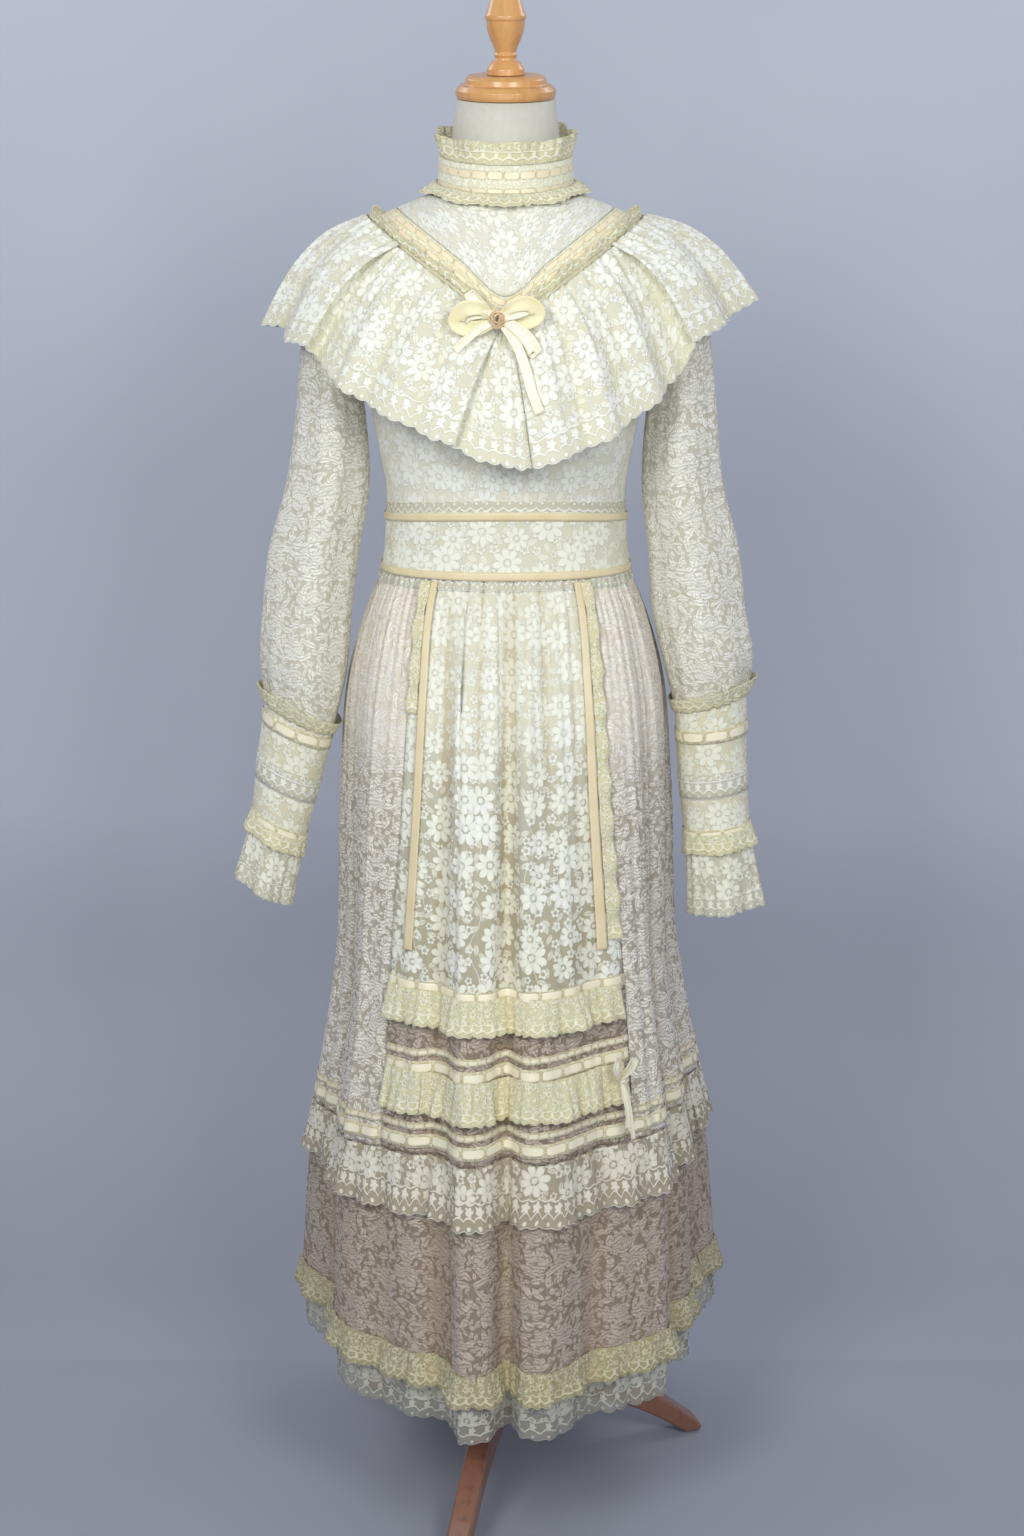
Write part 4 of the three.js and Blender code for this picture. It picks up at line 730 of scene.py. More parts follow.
# ---------------------------------------------------------------- drawing cloth finer
def refine(points, count, closed=False):
    """The first axis drawn again in count even steps along a smooth curve."""
    if len(points) == 2 and not closed:
        share = np.linspace(0, 1, count).reshape((-1,) + (1,) * (points.ndim - 1))
        return points[0] * (1 - share) + points[1] * share
    if closed:
        points = np.concatenate([points[-2:], points, points[:3]])
    gaps = np.linalg.norm(np.diff(points, axis=0), axis=-1).reshape(len(points) - 1, -1).mean(axis=1)
    place = np.concatenate([[0], np.cumsum(gaps)])
    slope = np.gradient(points, place, axis=0)
    first, last = (place[2], place[-3]) if closed else (place[0], place[-1])
    wanted = np.linspace(first, last, count)
    left = np.clip(np.searchsorted(place, wanted, side="right") - 1, 0, len(place) - 2)
    size = place[left + 1] - place[left]
    t = (wanted - place[left]) / size
    shape = (-1,) + (1,) * (points.ndim - 1)
    t, size = t.reshape(shape), size.reshape(shape)
    return ((2 * t ** 3 - 3 * t ** 2 + 1) * points[left] + (t ** 3 - 2 * t ** 2 + t) * size * slope[left]
            + (3 * t ** 2 - 2 * t ** 3) * points[left + 1] + (t ** 3 - t ** 2) * size * slope[left + 1])


def lengths(points, axis):
    """Running length along an axis of a grid of points, in metres."""
    steps = np.linalg.norm(np.diff(points, axis=axis), axis=-1)
    run = np.cumsum(steps, axis=axis)
    pad = [(0, 0), (0, 0)]
    pad[axis] = (1, 0)
    return np.pad(run, pad)


def fine_grid(points, closed, cell):
    """Both directions drawn again at about cell metres, with a repeated last column on a ring."""
    down = lengths(points, 0)[-1].max()
    across = lengths(np.concatenate([points, points[:, :1]], axis=1) if closed else points, 1)[:, -1].max()
    rows = max(3, int(round(down / cell)) + 1)
    columns = max(4, int(round(across / cell)) + 1)
    grid = refine(points, rows)
    grid = refine(grid.transpose(1, 0, 2), columns, closed).transpose(1, 0, 2)
    return grid


def grid_normals(grid, closed):
    if closed:
        wide = np.concatenate([grid[:, -2:-1], grid, grid[:, 1:2]], axis=1)
        across = (wide[:, 2:] - wide[:, :-2])
    else:
        across = np.gradient(grid, axis=1)
    up = -np.gradient(grid, axis=0)
    normals = np.cross(across, up)
    return normals / np.maximum(np.linalg.norm(normals, axis=-1, keepdims=True), 1e-9)


def waves(u, pitch, seed, spread=0.35):
    """Uneven soft waves along u: about one each pitch, between minus one and one."""
    rng = np.random.default_rng(seed)
    total = np.zeros_like(u)
    for share, scale in ((0.6, 1.0), (0.3, 0.63), (0.25, 1.7)):
        drift = spread * np.sin(u / (pitch * rng.uniform(3, 5)) + rng.uniform(0, 6.28)) * 2.2
        total += share * np.sin(6.2832 * u / (pitch * scale) + drift + rng.uniform(0, 6.28))
    return total


def fold_depth(grid, closed, reach=0.03, range_mm=7.0):
    """0 on a ridge to 1 in a trough, from how far a point lies off the cloth's smoothed course."""
    cell = np.linalg.norm(np.diff(grid, axis=1), axis=-1).mean()
    half = max(2, int(reach / cell))
    if closed:
        wide = np.concatenate([grid[:, -half - 1:-1], grid, grid[:, 1:half + 1]], axis=1)
    else:
        wide = np.pad(grid, ((0, 0), (half, half), (0, 0)), mode="reflect", reflect_type="odd")
    run = np.concatenate([np.zeros((grid.shape[0], 1, 3)), np.cumsum(wide, axis=1)], axis=1)
    size = 2 * half + 1
    mean = (run[:, size:] - run[:, :-size]) / size
    off = ((grid - mean) * grid_normals(mean, closed)).sum(axis=-1)
    return np.clip(0.5 - off / (range_mm * MM), 0, 1)


def cloth_mesh(name, grid, closed, scallop=None):
    """A mesh sheet over a grid of points, with its lengths as the cloth and hem maps."""
    rows, columns = grid.shape[:2]
    shape = bmesh.new()
    bmesh.ops.create_grid(shape, x_segments=columns - 1, y_segments=rows - 1, size=1)
    mesh = new_mesh(name, shape)
    flipped = grid[::-1]
    mesh.vertices.foreach_set("co", flipped.reshape(-1).astype(np.float32))
    run = lengths(flipped, 1)
    centred = run - run[:, -1:] / 2
    rise = lengths(flipped, 0)
    edge = np.broadcast_to(run[0], (rows, columns))
    if scallop:
        edge = edge / run[0, -1] * max(1, round(run[0, -1] / scallop)) * scallop
    owners = np.zeros(len(mesh.loops), dtype=np.int32)
    mesh.loops.foreach_get("vertex_index", owners)
    middle = rise[:, columns // 2][:, None] - rise[-1:, columns // 2][:, None]
    maps = (("cloth", centred, np.broadcast_to(middle, rise.shape)), ("hem", edge, rise))
    for label, first, second in maps:
        layer = mesh.uv_layers.new(name=label)
        pairs = np.stack([first.reshape(-1)[owners], second.reshape(-1)[owners]], axis=1)
        layer.data.foreach_set("uv", pairs.reshape(-1).astype(np.float32))
    # The fold depth, by which the lace finishes paint shade into the fold troughs.
    folds = mesh.attributes.new("fold", "FLOAT", "POINT")
    folds.data.foreach_set("value", fold_depth(grid, closed)[::-1].reshape(-1).astype(np.float32))
    if closed:
        shape = bmesh.new()
        shape.from_mesh(mesh)
        bmesh.ops.remove_doubles(shape, verts=shape.verts, dist=0.01 * MM)
        shape.to_mesh(mesh)
        shape.free()
    smooth_faces(mesh)
    mesh.update()
    return mesh, float(run[:, -1].max()), float(rise[-1].max())


def add_piece(name, mesh, material, stands_for=(), thick=LACE_THICK):
    piece = put(name, mesh)
    mesh.materials.clear()
    mesh.materials.append(material)
    if thick:
        wall = piece.modifiers.new("thickness", "SOLIDIFY")
        wall.thickness = thick
        wall.offset = -1
        wall.use_even_offset = False
    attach(piece, "root")
    if stands_for:
        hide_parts(*stands_for)
    return piece


made_grids = {}


def add_cloth(node, finish, cell=5.0, shape=None, name=None, centre=AXIS,
              replace=True, grid_closed=None, scallop=None, keep=True):
    """A cloth piece over a node's outer wall, or over a grid that is ready. Its points are cell mm apart,
    shape moves them before they are meshed, and scallop is the pitch and depth of the lower edge."""
    if grid_closed is None:
        points, closed = wall_grid(node, centre)
        grid = fine_grid(points, closed, cell * MM)
    else:
        grid, closed = grid_closed
    if shape:
        grid = shape(grid, closed)
        if closed:
            grid[:, -1] = grid[:, 0]
    if keep:
        made_grids[node] = (grid, closed)
    if scallop:
        grid = scallops(scallop[0], scallop[1])(grid, closed)
    mesh, width, length = cloth_mesh(name or f"{node}_cloth", grid, closed, scallop and scallop[0] * MM)
    piece = add_piece(mesh.name, mesh, finishes[finish], (node,) if replace else ())
    return piece


# ---------------------------------------------------------------- shapes that cloth takes
def smooth_step(x):
    x = np.clip(x, 0, 1)
    return x * x * (3 - 2 * x)


def gathers(pitch, depth, seed, top=1.0, bottom=0.4, hem_pitch=None, lift=0.0):
    """Fine soft gathers along the normals, from depth*top at the upper edge to depth*bottom below;
    lift moves them outwards, clear of the cloth beneath."""
    def shape(grid, closed):
        normals = grid_normals(grid, closed)
        run = lengths(grid, 1)
        u = np.broadcast_to(run[run[:, -1].argmax()], grid.shape[:2])
        share = np.linspace(0, 1, grid.shape[0])[:, None]
        if closed:
            whole = max(1, round(u.max() / (pitch * MM)))
            u = u / u.max() * whole * pitch * MM
        near = waves(u, pitch * MM, seed)
        far = waves(u, (hem_pitch or pitch * 1.6) * MM, seed + 1)
        amount = depth * MM * ((1 - share) * top * near + share * bottom * far + lift)
        if closed:
            ease = smooth_step(np.minimum(u, u.max() - u) / (0.02))
            amount = amount * ease
        return grid + normals * amount[..., None]
    return shape


def scallops(pitch, depth):
    """The lower edge cut in round scallops."""
    def shape(grid, closed):
        run = lengths(grid, 1)[-1]
        total = run[-1]
        count = max(1, round(total / (pitch * MM)))
        lift = depth * MM * (1 - np.abs(np.sin(np.pi * run / total * count)) ** 0.7)
        tall = lengths(grid, 0)[-1]
        share = np.clip(lift / np.maximum(tall, 1e-4), 0, 0.4)
        rows = np.linspace(0, 1, grid.shape[0])
        reach = smooth_step((rows - 0.55) / 0.45)[:, None] * share[None, :]
        return grid + (grid[0:1] - grid[-1:]) * reach[..., None]
    return shape


def creases(table):
    """Soft troughs and ridges placed one by one: (x, z, x, z, half width, depth) in millimetres."""
    def shape(grid, closed):
        normals = grid_normals(grid, closed)
        total = np.zeros(grid.shape[:2])
        facing = np.clip(-normals[..., 1], 0, 1)
        for x0, z0, x1, z1, half, depth in table:
            start, end = np.array([x0, z0]) * MM, np.array([x1, z1]) * MM
            along = end - start
            place = grid[..., [0, 2]] - start
            share = np.clip((place @ along) / (along @ along), 0, 1)
            away = np.linalg.norm(place - share[..., None] * along, axis=-1)
            ends = np.sin(np.pi * np.clip(share, 0.02, 0.98)) ** 0.5
            total += depth * MM * np.exp(-(away / (half * MM)) ** 2) * ends
        return grid + normals * (total * facing)[..., None]
    return shape


def in_turn(*shapes):
    def shape(grid, closed):
        for change in shapes:
            grid = change(grid, closed)
        return grid
    return shape


def ready_grid(node, cell, sideways=False):
    """The fine grid of a node's wall; one that was read side on is turned the right way."""
    points, closed = wall_grid(node)
    if sideways:
        points = points.transpose(1, 0, 2)[:, ::-1]
    return fine_grid(points, closed, cell * MM), closed


def limb_centre(node):
    low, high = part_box(node)
    return Vector(((low.x + high.x) / 2, (low.y + high.y) / 2, 0))


# ---------------------------------------------------------------- the form and its stand
# radius and height along each turned piece, in millimetres
CAP_PROFILE = [(0, 0), (49.5, 0), (51, 3), (51, 8), (47, 12.5), (42, 13.5), (41, 19), (37.5, 22), (0, 22)]
FINIAL_PROFILE = [
    (0, 22.4), (19.5, 22.4), (19, 28), (15, 34), (11, 36.5), (10.5, 39), (12, 41.5), (10.5, 44),
    (11.5, 47), (15, 55), (18.5, 64), (19.5, 74), (20.8, 76), (20.8, 79), (19, 82), (16, 92), (9, 105),
    (10, 112), (0, 118)]
NECK_TILT = 9
NECK_TOP = 1540


def turned_piece(name, profile, finish, stands_for):
    """Wood turned on a lathe, leaning with the neck."""
    shape = bmesh.new()
    line = [shape.verts.new((r * MM, 0, z * MM)) for r, z in profile]
    edges = [shape.edges.new(pair) for pair in zip(line, line[1:])]
    bmesh.ops.spin(shape, geom=line + edges, cent=(0, 0, 0), axis=(0, 0, 1), angle=math.tau, steps=72,
                   use_merge=True)
    bmesh.ops.remove_doubles(shape, verts=shape.verts, dist=0.01 * MM)
    bmesh.ops.recalc_face_normals(shape, faces=shape.faces)
    lean = Matrix.Rotation(math.radians(NECK_TILT), 3, "X")
    bmesh.ops.rotate(shape, verts=shape.verts, cent=(0, 0, 0), matrix=lean)
    bmesh.ops.translate(shape, verts=shape.verts, vec=(AXIS.x, AXIS.y, NECK_TOP * MM))
    mesh = new_mesh(name, shape)
    smooth_faces(mesh)
    piece = add_piece(name, mesh, finishes[finish], stands_for, thick=0)
    edge = piece.modifiers.new("worn edges", "BEVEL")
    edge.width = 0.8 * MM
    edge.segments = 2
    edge.limit_method = "ANGLE"
    edge.angle_limit = math.radians(25)
    edge.harden_normals = True
    return piece


def add_torso():
    """The linen-covered torso."""
    shape = merged_node("form_torso")
    mesh = new_mesh("form_linen", shape)
    smooth_faces(mesh)
    piece = add_piece("form_linen", mesh, finishes["linen"], ("form_torso",), thick=0)
    finer = piece.modifiers.new("smooth", "SUBSURF")
    finer.levels = finer.render_levels = 1
    finer.subdivision_type = "SIMPLE"
    return piece


def dress_frame_wood():
    """The pole, hub and legs keep the frame's own shape."""
    for name in ("pole", "hub", "leg_front", "leg_right", "leg_back"):
        nodes[name].data.materials.clear()
        nodes[name].data.materials.append(finishes["red_wood"])


# ---------------------------------------------------------------- cloth cut by the body: the bodice
def add_fitted(node, finish):
    """A bodice piece: the outer wall of its node, made finer, with a map wrapped round the body."""
    shape = merged_node(node)
    hidden = []
    for face in shape.faces:
        middle = face.calc_center_median()
        reach = Vector((middle.x - AXIS.x, middle.y - AXIS.y, 0))
        if face.normal.dot(reach) <= 0 or min(e.calc_length() for e in face.edges) < RIM_EDGE:
            hidden.append(face)
    bmesh.ops.delete(shape, geom=hidden, context="FACES")
    bmesh.ops.subdivide_edges(shape, edges=shape.edges, cuts=2, use_grid_fill=True)
    mesh = new_mesh(f"{node}_cloth", shape)
    count = len(mesh.vertices)
    places = np.zeros(count * 3, dtype=np.float32)
    mesh.vertices.foreach_get("co", places)
    places = places.reshape(-1, 3)
    turn = np.arctan2(places[:, 0] - AXIS.x, AXIS.y - places[:, 1])
    if "back" in node:
        turn = np.mod(turn, 2 * np.pi)
    radius = float(np.linalg.norm(places[:, :2] - np.array([AXIS.x, AXIS.y]), axis=1).mean())
    owners = np.zeros(len(mesh.loops), dtype=np.int32)
    mesh.loops.foreach_get("vertex_index", owners)
    for label in ("cloth", "hem"):
        layer = mesh.uv_layers.new(name=label)
        pairs = np.stack([(turn * radius)[owners], places[:, 2][owners] - float(places[:, 2].min())], axis=1)
        layer.data.foreach_set("uv", pairs.reshape(-1).astype(np.float32))
    smooth_faces(mesh)
    mesh.update()
    piece = add_piece(mesh.name, mesh, finishes[finish], (node,))
    return piece


# ---------------------------------------------------------------- ribbons and bows
def strip_grid(path, width, facing, cup, widths):
    """Points of a ribbon along a smooth path, flat towards facing, with its edges curled by cup."""
    path = refine(np.array(path, dtype=float)[:, None, :] * MM, 28)[:, 0]
    along = np.gradient(path, axis=0)
    side = np.cross(np.array(facing, dtype=float), along)
    side /= np.maximum(np.linalg.norm(side, axis=1, keepdims=True), 1e-9)
    out = np.cross(along, side)
    out /= np.maximum(np.linalg.norm(out, axis=1, keepdims=True), 1e-9)
    share = np.linspace(0, 1, len(path))
    half = width * MM / 2 * (np.interp(share, *zip(*widths)) if widths else np.ones(len(path)))
    across = np.linspace(-1, 1, 7)
    return (path[:, None] + side[:, None] * (half[:, None] * across)[..., None]
            + out[:, None] * (cup * MM * (across ** 2))[None, :, None])


def ribbon_mesh(name, path, width, place, facing=(0, -1, 0), cup=0.0, widths=None, turn=0.0):
    """A ribbon's mesh, turned about the upright and moved to its place."""
    grid = strip_grid(path, width, facing, cup, widths)
    spin = np.array(Matrix.Rotation(math.radians(turn), 3, "Z"))
    grid = grid @ spin.T + np.array(place[:])
    return cloth_mesh(name, grid[::-1], False)[0]


# ---------------------------------------------------------------- the dress
def make_form():
    add_torso()
    turned_piece("neck_cap_turned", CAP_PROFILE, "pale_wood", ("neck_cap",))
    turned_piece("finial_turned", FINIAL_PROFILE, "pale_wood", ("finial",))
    dress_frame_wood()


# x and z of each crease's two ends, its half width, and how far it stands out, in millimetres
FRONT_CREASES = [
    (-50, 1070, -60, 700, 8, -2),
    (-33, 1070, -41, 660, 9, 7),
    (-17, 1070, -24, 650, 8, -1),
    (-4, 1070, -8, 650, 8, 8),
    (12, 1070, 8, 645, 7, -3),
    (30, 1070, 27, 650, 9, 8),
    (47, 1070, 50, 650, 7, -2)]
LOWER_CREASES = [
    (-80, 640, -86, 490, 11, 6),
    (-60, 640, -66, 490, 8, -2),
    (-30, 640, -34, 490, 12, 7),
    (0, 640, -2, 490, 8, -2),
    (30, 640, 34, 490, 12, 7),
    (62, 640, 66, 490, 8, -2),
    (92, 640, 98, 490, 12, 7)]


def make_skirt():
    add_cloth("skirt_front_panel", "blossom_open", cell=4.5,
              shape=in_turn(gathers(14, 2.4, 11, top=1.2, bottom=0.7, hem_pitch=26, lift=0.5),
                            creases(FRONT_CREASES)))
    add_cloth("skirt_front_lower", "rose_shaded",
              cell=4.5, shape=in_turn(gathers(19, 2.0, 12, lift=0.4), creases(LOWER_CREASES)))
    for node, seed in (("skirt_side_right", 13), ("skirt_back", 14), ("skirt_side_left", 15)):
        add_cloth(node, "rose", cell=5,
                  shape=gathers(15, 2.8, seed, top=1.1, bottom=1.2, hem_pitch=34, lift=0.5))
    for half, seed in (("front", 21), ("back", 22)):
        add_cloth(f"bottom_tier_{half}", "rose_shaded",
                  cell=5, shape=gathers(15, 1.8, seed, bottom=0.8, hem_pitch=28))
        add_cloth(f"flounce_{half}", "flounce", cell=3.6,
                  scallop=(14, 4), shape=gathers(10, 1.6, seed + 2, top=0.7, bottom=1.0))
        add_cloth(f"hem_ruffle_{half}", "ruffle_shaded", cell=3.2,
                  scallop=(13, 3.2), shape=gathers(9, 2.4, seed + 4, top=0.7, bottom=1.0))
        add_cloth(f"petticoat_{half}", "petticoat",
                  cell=4.5, scallop=(18, 4), shape=gathers(20, 2.2, seed + 6, bottom=1.0))
    add_cloth("skirt_lining", "lining", cell=9,
              shape=gathers(40, 0.6, 31, lift=-6.0))
    for node, seed in (("apron_ruffle", 41), ("second_ruffle", 42)):
        add_cloth(node, "ruffle", cell=2.8,
                  scallop=(13, 3.2), shape=in_turn(gathers(10, 2.6, seed, top=0.5, bottom=1.0, lift=0.7),
                                                   creases(LOWER_CREASES)))


def band_over(grid, closed, low, high, out, from_top):
    """A strip lying on a cloth grid between two heights in millimetres from its lower or upper edge."""
    normals = grid_normals(grid, closed)
    depth = lengths(grid, 0)
    rise = depth if from_top else depth[-1:] - depth
    first, last = (low, high) if from_top else (high, low)
    wanted = np.linspace(first, last, BAND_ROWS) * MM
    lifted = grid + normals * out * MM
    strip = np.zeros((BAND_ROWS, grid.shape[1], 3))
    for column in range(grid.shape[1]):
        order = slice(None) if from_top else slice(None, None, -1)
        for axis in range(3):
            strip[:, column, axis] = np.interp(wanted, rise[order, column], lifted[order, column, axis])
    return strip


def add_band(node, name, finish, low, high, out=1.3, from_top=False, scallop=None):
    """A strip of trim over a cloth that is made already."""
    grid, closed = made_grids[node]
    strip = band_over(grid, closed, low, high, out, from_top)
    return add_cloth(node, finish, replace=False, name=name,
                     grid_closed=(strip, closed), scallop=scallop, keep=False)


def make_tier_ribbons():
    """Ribbon-threaded rows over the tiers: a broad row and a narrow one above each ruffle."""
    for node in ("skirt_front_lower", "skirt_side_left", "skirt_side_right", "skirt_back"):
        place = node.replace("skirt_", "")
        add_band(node, f"third_ribbon_{place}", "beaded", 6, 21)
        add_band(node, f"third_beading_{place}", "narrow_beaded", 26, 34)
        if node != "skirt_front_lower":
            add_band(node, f"waist_edging_{place}", "edging", 27, 39, out=1.6, from_top=True,
                     scallop=(11, 3))
    add_band("skirt_front_panel", "waist_edging_front", "edging", 27, 39, out=1.6, from_top=True,
             scallop=(11, 3))
    add_band("skirt_front_lower", "second_ribbon", "beaded", 84, 99)
    add_band("skirt_front_lower", "second_beading", "narrow_beaded", 104, 112)
    add_band("skirt_front_panel", "apron_ribbon", "beaded", 4, 17, out=1.5)


def make_panel_trims():
    for side in ("left", "right"):
        grid = ready_grid(f"panel_ribbon_{side}", 2.5)
        add_cloth(f"panel_ribbon_{side}", "satin",
                  grid_closed=grid, shape=gathers(30, 1.0, 44, top=0.3, bottom=0.3, lift=3.6))
        grid = ready_grid(f"panel_ruffle_{side}", 2.6)
        add_cloth(f"panel_ruffle_{side}", "ruffle",
                  grid_closed=grid, shape=gathers(9, 1.0, 43, lift=3.0))


def make_bodice():
    add_fitted("bodice_front", "blossom")
    add_fitted("bodice_back", "blossom")
    for half in ("front", "back"):
        sideways = half == "front"
        add_cloth(f"yoke_{half}", "blossom",
                  grid_closed=ready_grid(f"yoke_{half}", 5, sideways=sideways))
        add_cloth(f"yoke_trim_{half}", "yoke_trim",
                  grid_closed=ready_grid(f"yoke_trim_{half}", 3, sideways=True))
    add_cloth("sash", "sash", cell=4)
    grid, closed = made_grids["sash"]
    rise = (grid[0] - grid[1]) / np.linalg.norm(grid[0] - grid[1], axis=1, keepdims=True)
    top = grid[0] - grid_normals(grid, closed)[0] * 1.2 * MM
    strip = np.stack([top + rise * h * MM for h in (-2, 1.5, 5, 8.5, 12)])
    add_cloth("sash", "edging", replace=False,
              name="sash_top_edging", grid_closed=(strip, True), scallop=(11, 3), keep=False)
    for place in ("top", "bottom"):
        add_cloth(f"sash_ribbon_{place}", "satin", cell=2.5)


def make_collar():
    add_cloth("collar_band", "collar", cell=3)
    add_cloth("collar_top_ruffle", "ruffle", cell=2.5,
              shape=gathers(10, 2.0, 51, top=1.0, bottom=0.2))
    add_cloth("collar_base_ruffle", "ruffle", cell=2.5,
              scallop=(10, 2), shape=gathers(8, 1.3, 52, top=0.4, bottom=1.0))


# each cape piece, with the neighbours whose edges its own first and last columns tuck under
CAPE_PIECES = [
    ("cape_shoulder_left", None, None, 65), ("cape_shoulder_right", None, None, 66),
    ("cape_front_left", ("cape_shoulder_left", -1), None, 61),
    ("cape_front_right", None, ("cape_shoulder_right", 0), 63),
    ("cape_front_centre", ("cape_front_left", -1), ("cape_front_right", 0), 62),
    ("cape_back", ("cape_shoulder_right", -1), ("cape_shoulder_left", 0), 64)]


def tucked(first, last, under=3.0, past=9.0):
    """Carries the side edges of a grid on, under the edge of the neighbouring piece."""
    def shape(grid, closed):
        for neighbour, at_start in ((first, True), (last, False)):
            if neighbour is None:
                continue
            name, column = neighbour
            other = made_grids[name][0]
            edge = refine(other[:, column], grid.shape[0])
            inner = refine(other[:, 3 if column == 0 else -4], grid.shape[0])
            normal = refine(grid_normals(other, False)[:, column], grid.shape[0])
            step = inner - edge
            step /= np.maximum(np.linalg.norm(step, axis=1, keepdims=True), 1e-9)
            goal = edge - normal * under * MM + step * past * MM
            own = grid[:, 0] if at_start else grid[:, -1]
            reach = np.linalg.norm(goal - own, axis=1).mean()
            count = max(4, int(reach / (3.2 * MM)))
            share = np.linspace(0, 1, count + 1)[1:]
            bridge = own[:, None] * (1 - share)[None, :, None] + goal[:, None] * share[None, :, None]
            bridge = bridge - normal[:, None] * (np.sin(np.pi * share) * 2.0 * MM)[None, :, None]
            grid = np.concatenate([bridge[:, ::-1], grid] if at_start else [grid, bridge], axis=1)
        return grid
    return shape


def make_cape():
    for node, first, last, seed in CAPE_PIECES:
        add_cloth(node, "cape", cell=3.0,
                  scallop=(15, 3.4), shape=in_turn(gathers(18, 1.6, seed, top=1.2, bottom=0.8, hem_pitch=38),
                                                   tucked(first, last)))
    for side in ("left", "right"):
        add_cloth(f"cape_heading_{side}", "ruffle",
                  shape=gathers(8, 1.2, 67), scallop=(9, 2),
                  grid_closed=ready_grid(f"cape_heading_{side}", 2.2, sideways=True))


def make_sleeves():
    for side, seed in (("left", 71), ("right", 72)):
        middle = limb_centre(f"sleeve_{side}")
        add_cloth(f"sleeve_{side}", "sleeve", cell=5,
                  centre=middle, shape=gathers(22, 1.6, seed, top=0.8, bottom=1.0))
        middle = limb_centre(f"cuff_{side}")
        add_cloth(f"cuff_{side}", "cuff", cell=3.5,
                  centre=middle)
        add_band(f"cuff_{side}", f"cuff_top_ribbon_{side}", "beaded", 114, 128)
        add_band(f"cuff_{side}", f"cuff_insertion_{side}", "edging", 52, 80, out=0.9)
        add_band(f"cuff_{side}", f"cuff_low_ribbon_{side}", "beaded", 3, 17)
        for kind, finish, slot, depth in (("cuff_ruffle", "ruffle", "ruffle_lace", 0.8),
                                          ("wrist_ruffle", "ruffle", "ruffle_lace", 0.8),
                                          ("wrist_frill", "frill", "cape_lace", 1.2)):
            middle = limb_centre(f"{kind}_{side}")
            add_cloth(f"{kind}_{side}", finish, cell=2.6,
                      centre=middle, scallop=(11, 2.4),
                      shape=gathers(9, depth * 1.8, seed + 3, top=0.5, bottom=1.0))


def joined_cloth(name, meshes, finish, stands_for=(), thick=RIBBON_THICK):
    """Several ribbon meshes as one piece."""
    shape = bmesh.new()
    for mesh in meshes:
        shape.from_mesh(mesh)
        bpy.data.meshes.remove(mesh)
    whole = new_mesh(name, shape)
    smooth_faces(whole)
    return add_piece(name, whole, finishes[finish], stands_for, thick)


LEAF = ((0, 0.5), (0.35, 1.05), (0.7, 1.1), (1, 0.75))
PLAIN = ((0, 0.7), (0.2, 1.0), (1, 1.0))
FRONT_BOW = (-8, -129.6, 1326)
SIDE_BOW_TURN = 38


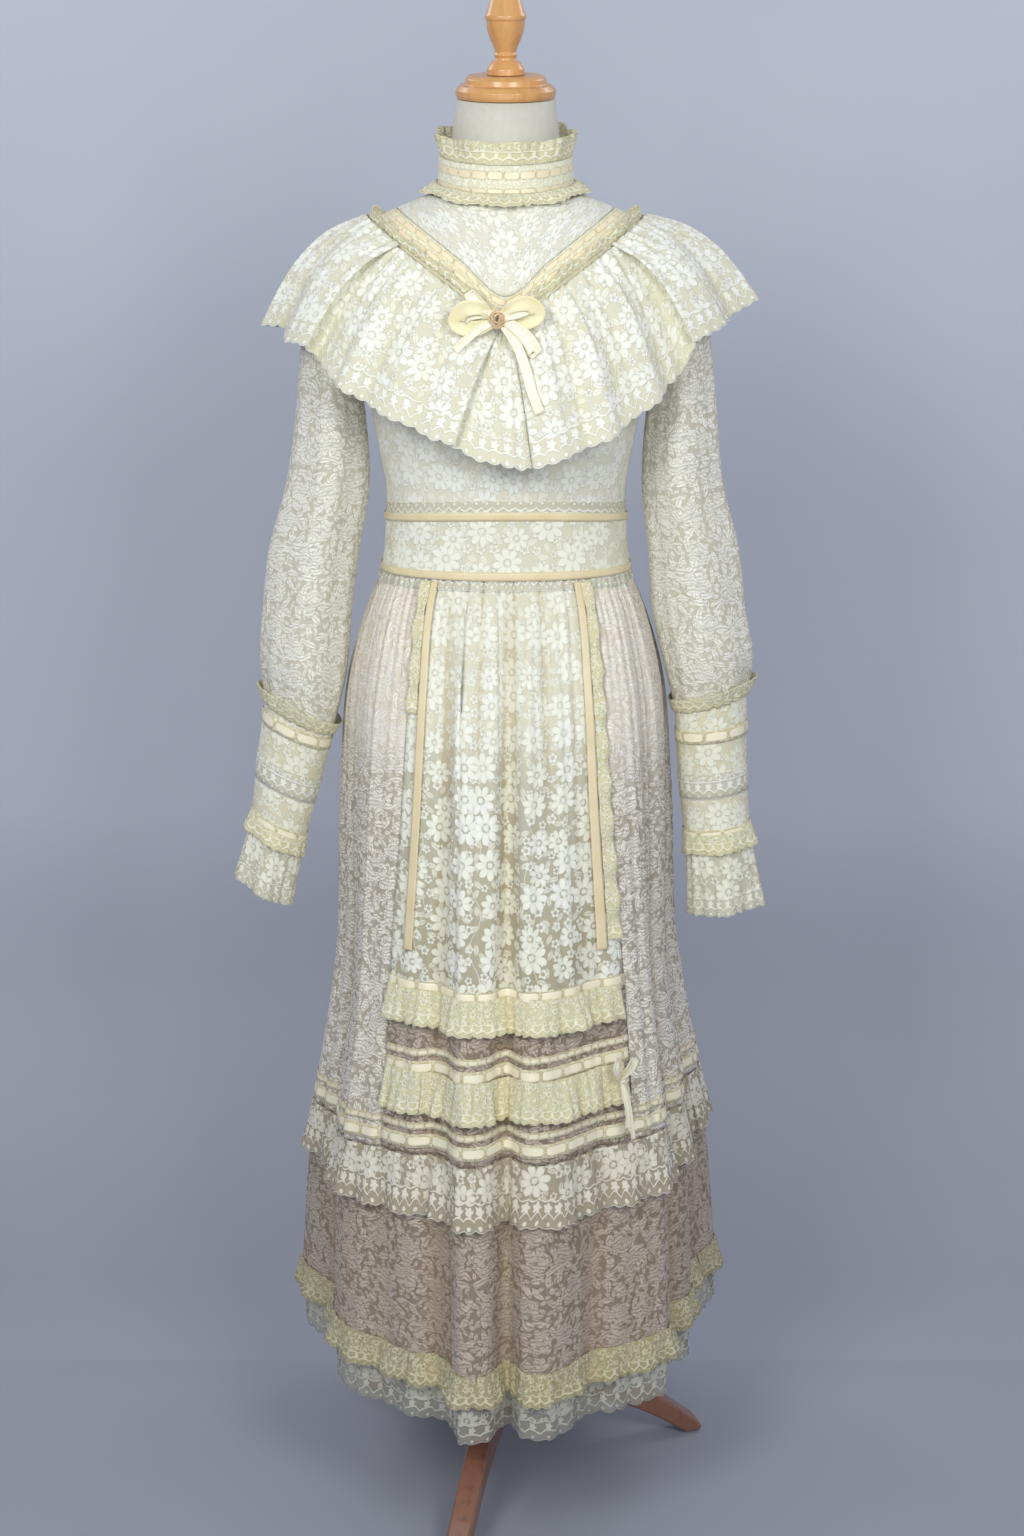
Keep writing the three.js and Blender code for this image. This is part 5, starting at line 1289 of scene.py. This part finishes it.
def make_bows():
    place = AXIS + Vector(FRONT_BOW) * MM
    loops = [
        ([(0, 0, 0), (-9, -7, 7), (-22, -9, 16), (-27, -5, 24), (-20, -2, 17), (-6, 0, 4)], 10, LEAF),
        ([(0, 0, 0), (-14, -7, 5), (-30, -6, 3), (-36, -3, -3), (-22, 0, -3), (-4, 0, -1)], 12, LEAF),
        ([(0, 0, 0), (12, -8, 3), (26, -8, 8), (31, -5, 10), (20, -2, 5), (4, 0, 1)], 11, LEAF),
        ([(0, 0, 0), (14, -7, -6), (30, -9, -20), (38, -9, -33), (26, -4, -20), (5, 0, -4)], 13, LEAF)]
    tails = [
        ([(2, -2, -2), (16, -7, -20), (28, -14, -48), (34, -20, -70), (42, -27, -90)], 10, PLAIN),
        ([(-2, -2, -2), (-16, -5, -9), (-30, -7, -20), (-42, -8, -31)], 8, PLAIN)]
    soft = [
        ([(-2, -1, 0), (-18, -10, 10), (-34, -8, 8), (-40, -4, -4), (-24, -4, -10), (-4, -1, -3)], 15, LEAF),
        ([(2, -1, 0), (16, -10, 12), (32, -8, 14), (40, -5, 4), (26, -4, -4), (4, -1, -2)], 14, LEAF)]
    joined_cloth("front_bow", [
        ribbon_mesh(f"bow_strip_{i}", path, width, place, cup=1.2, widths=shape)
        for i, (path, width, shape) in enumerate(loops + tails)], "bow", ("bow_front",))
    joined_cloth("front_bow_organza", [
        ribbon_mesh(f"organza_strip_{i}", path, width, place, cup=2.0, widths=shape)
        for i, (path, width, shape) in enumerate(soft)], "organza")
    petals = []
    for turn in range(11):
        angle = turn * 2.4
        reach = 2.2 + turn * 0.62
        path = [(math.cos(angle + a) * reach, -9 + turn * 0.35, math.sin(angle + a) * reach)
                for a in (-0.9, -0.45, 0, 0.45, 0.9)]
        petals.append(ribbon_mesh(f"petal_{turn}", path, 4.5, place,
                                  facing=(math.cos(angle), -0.4, math.sin(angle)), cup=0.8))
    joined_cloth("front_rosette", petals, "rosette")
    low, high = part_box("bow_side")
    place = Vector(((low.x + high.x) / 2 - 4 * MM, (low.y + high.y) / 2, high.z - 24 * MM))
    side = [([(0, 0, 0), (-8, -5, 8), (-11, -6, 20), (-7, -4, 24), (-5, -1, 10), (0, 0, 2)], 8, LEAF),
            ([(0, 0, 0), (8, -5, 8), (14, -6, 15), (16, -4, 19), (8, -1, 8), (0, 0, 2)], 8, LEAF),
            ([(0, -1, 0), (-1, -8, -16), (0, -12, -34), (-2, -14, -50)], 6, PLAIN),
            ([(0, -1, 0), (3, -8, -20), (4, -13, -42), (6, -15, -64)], 6, PLAIN),
            ([(-4, -5, 0), (0, -7, 2), (4, -5, 0), (0, -4, -3)], 6, PLAIN)]
    joined_cloth("side_bow", [
        ribbon_mesh(f"side_strip_{i}", path, width, place, cup=0.8, widths=shape, turn=SIDE_BOW_TURN)
        for i, (path, width, shape) in enumerate(side)], "bow", ("bow_side",))


# ---------------------------------------------------------------- the room
# y and z along the backdrop, in metres
BACKDROP_COURSE = [
    (-3.0, 0.0), (0.3, 0.0), (0.62, 0.012), (0.8, 0.07), (0.9, 0.2), (0.93, 0.5), (0.94, 1.4), (0.95, 3.6)]
BACKDROP_HALF_WIDTH = 3.4
FLOOR_HALF_SIZE = 7
FLOOR_DROP = 2 * MM
WALL_PAINT = (0xD0D4DF, 0xC8CDDA)
FLOOR_PAINT = (0xA7A9B4, 0x9FA2AE)
ROOM_LIGHT = 0.46


def add_room():
    """A floor that turns up into a plain backdrop behind the form, clear when seen from behind."""
    line = refine(np.array([[(0, y, z)] for y, z in BACKDROP_COURSE]), 90)[:, 0]
    shape = bmesh.new()
    bmesh.ops.create_grid(shape, x_segments=2, y_segments=len(line) - 1, size=1)
    mesh = new_mesh("backdrop", shape)
    points = np.repeat(line[:, None], 3, axis=1)
    points[:, :, 0] = np.array([-1, 0, 1]) * BACKDROP_HALF_WIDTH
    mesh.vertices.foreach_set("co", points.reshape(-1).astype(np.float32))
    smooth_faces(mesh)
    mesh.update()
    backdrop = put("backdrop", mesh)
    finish = Finish("backdrop_paint", roughness=0.95)
    soft = noise_field(finish.tree, finish.solid_place(), 2.0)
    wall = finish.mix(soft, *WALL_PAINT)
    ground = finish.mix(soft, *FLOOR_PAINT)
    finish.colour(finish.mix((finish.height() - 0.25).above(0, 0.6), ground, wall))
    behind = finish.tree.nodes.new("ShaderNodeNewGeometry").outputs["Backfacing"]
    finish.alpha(Field(finish.tree, behind) * -1 + 1)
    mesh.materials.append(finish.material)
    shape = bmesh.new()
    bmesh.ops.create_grid(shape, x_segments=1, y_segments=1, size=FLOOR_HALF_SIZE)
    bmesh.ops.translate(shape, verts=shape.verts, vec=(0, 0, -FLOOR_DROP))
    mesh = new_mesh("floor", shape)
    floor = put("floor", mesh)
    finish = Finish("floor_paint", roughness=0.95)
    soft = noise_field(finish.tree, finish.solid_place(), 2.0)
    finish.colour(finish.mix(soft, *FLOOR_PAINT))
    mesh.materials.append(finish.material)
    world = bpy.data.worlds.new("room")
    bpy.context.scene.world = world
    world.use_nodes = True
    tree = world.node_tree
    tree.nodes["Background"].inputs["Strength"].default_value = ROOM_LIGHT
    tree.nodes["Background"].inputs["Color"].default_value = linear(0xDDE2F0)


def add_lamp(name, place, target, size, power, colour=0xFFFFFF):
    lamp = bpy.data.lights.new(name, "AREA")
    lamp.size = size
    lamp.energy = power
    lamp.color = linear(colour)[:3]
    light = put(name, lamp)
    light.location = place
    light.rotation_euler = (Vector(target) - Vector(place)).to_track_quat("-Z", "Y").to_euler()


def add_lights():
    add_lamp("front_left", (-0.75, -1.75, 1.95), (0, 0, 1.25), 0.6, 18, 0xF8FCF8)
    add_lamp("front_right", (0.7, -1.8, 1.8), (0, 0, 1.2), 0.6, 14.5, 0xF8FCFA)
    add_lamp("low_fill", (0.1, -2.1, 0.95), (0, 0, 1.05), 0.9, 5, 0xF8FCF8)
    add_lamp("back_left", (-1.2, 0.8, 2.3), (0, 0, 1.1), 0.7, 7, 0xFCFCFF)
    add_lamp("back_right", (1.2, 0.8, 2.3), (0, 0, 1.1), 0.7, 7, 0xFCFCFF)


add_camera()
add_room()
add_lights()
make_form()
make_skirt()
make_panel_trims()
make_tier_ribbons()
make_bodice()
make_collar()
make_cape()
make_sleeves()
make_bows()

bpy.context.scene.view_settings.view_transform = "Standard"
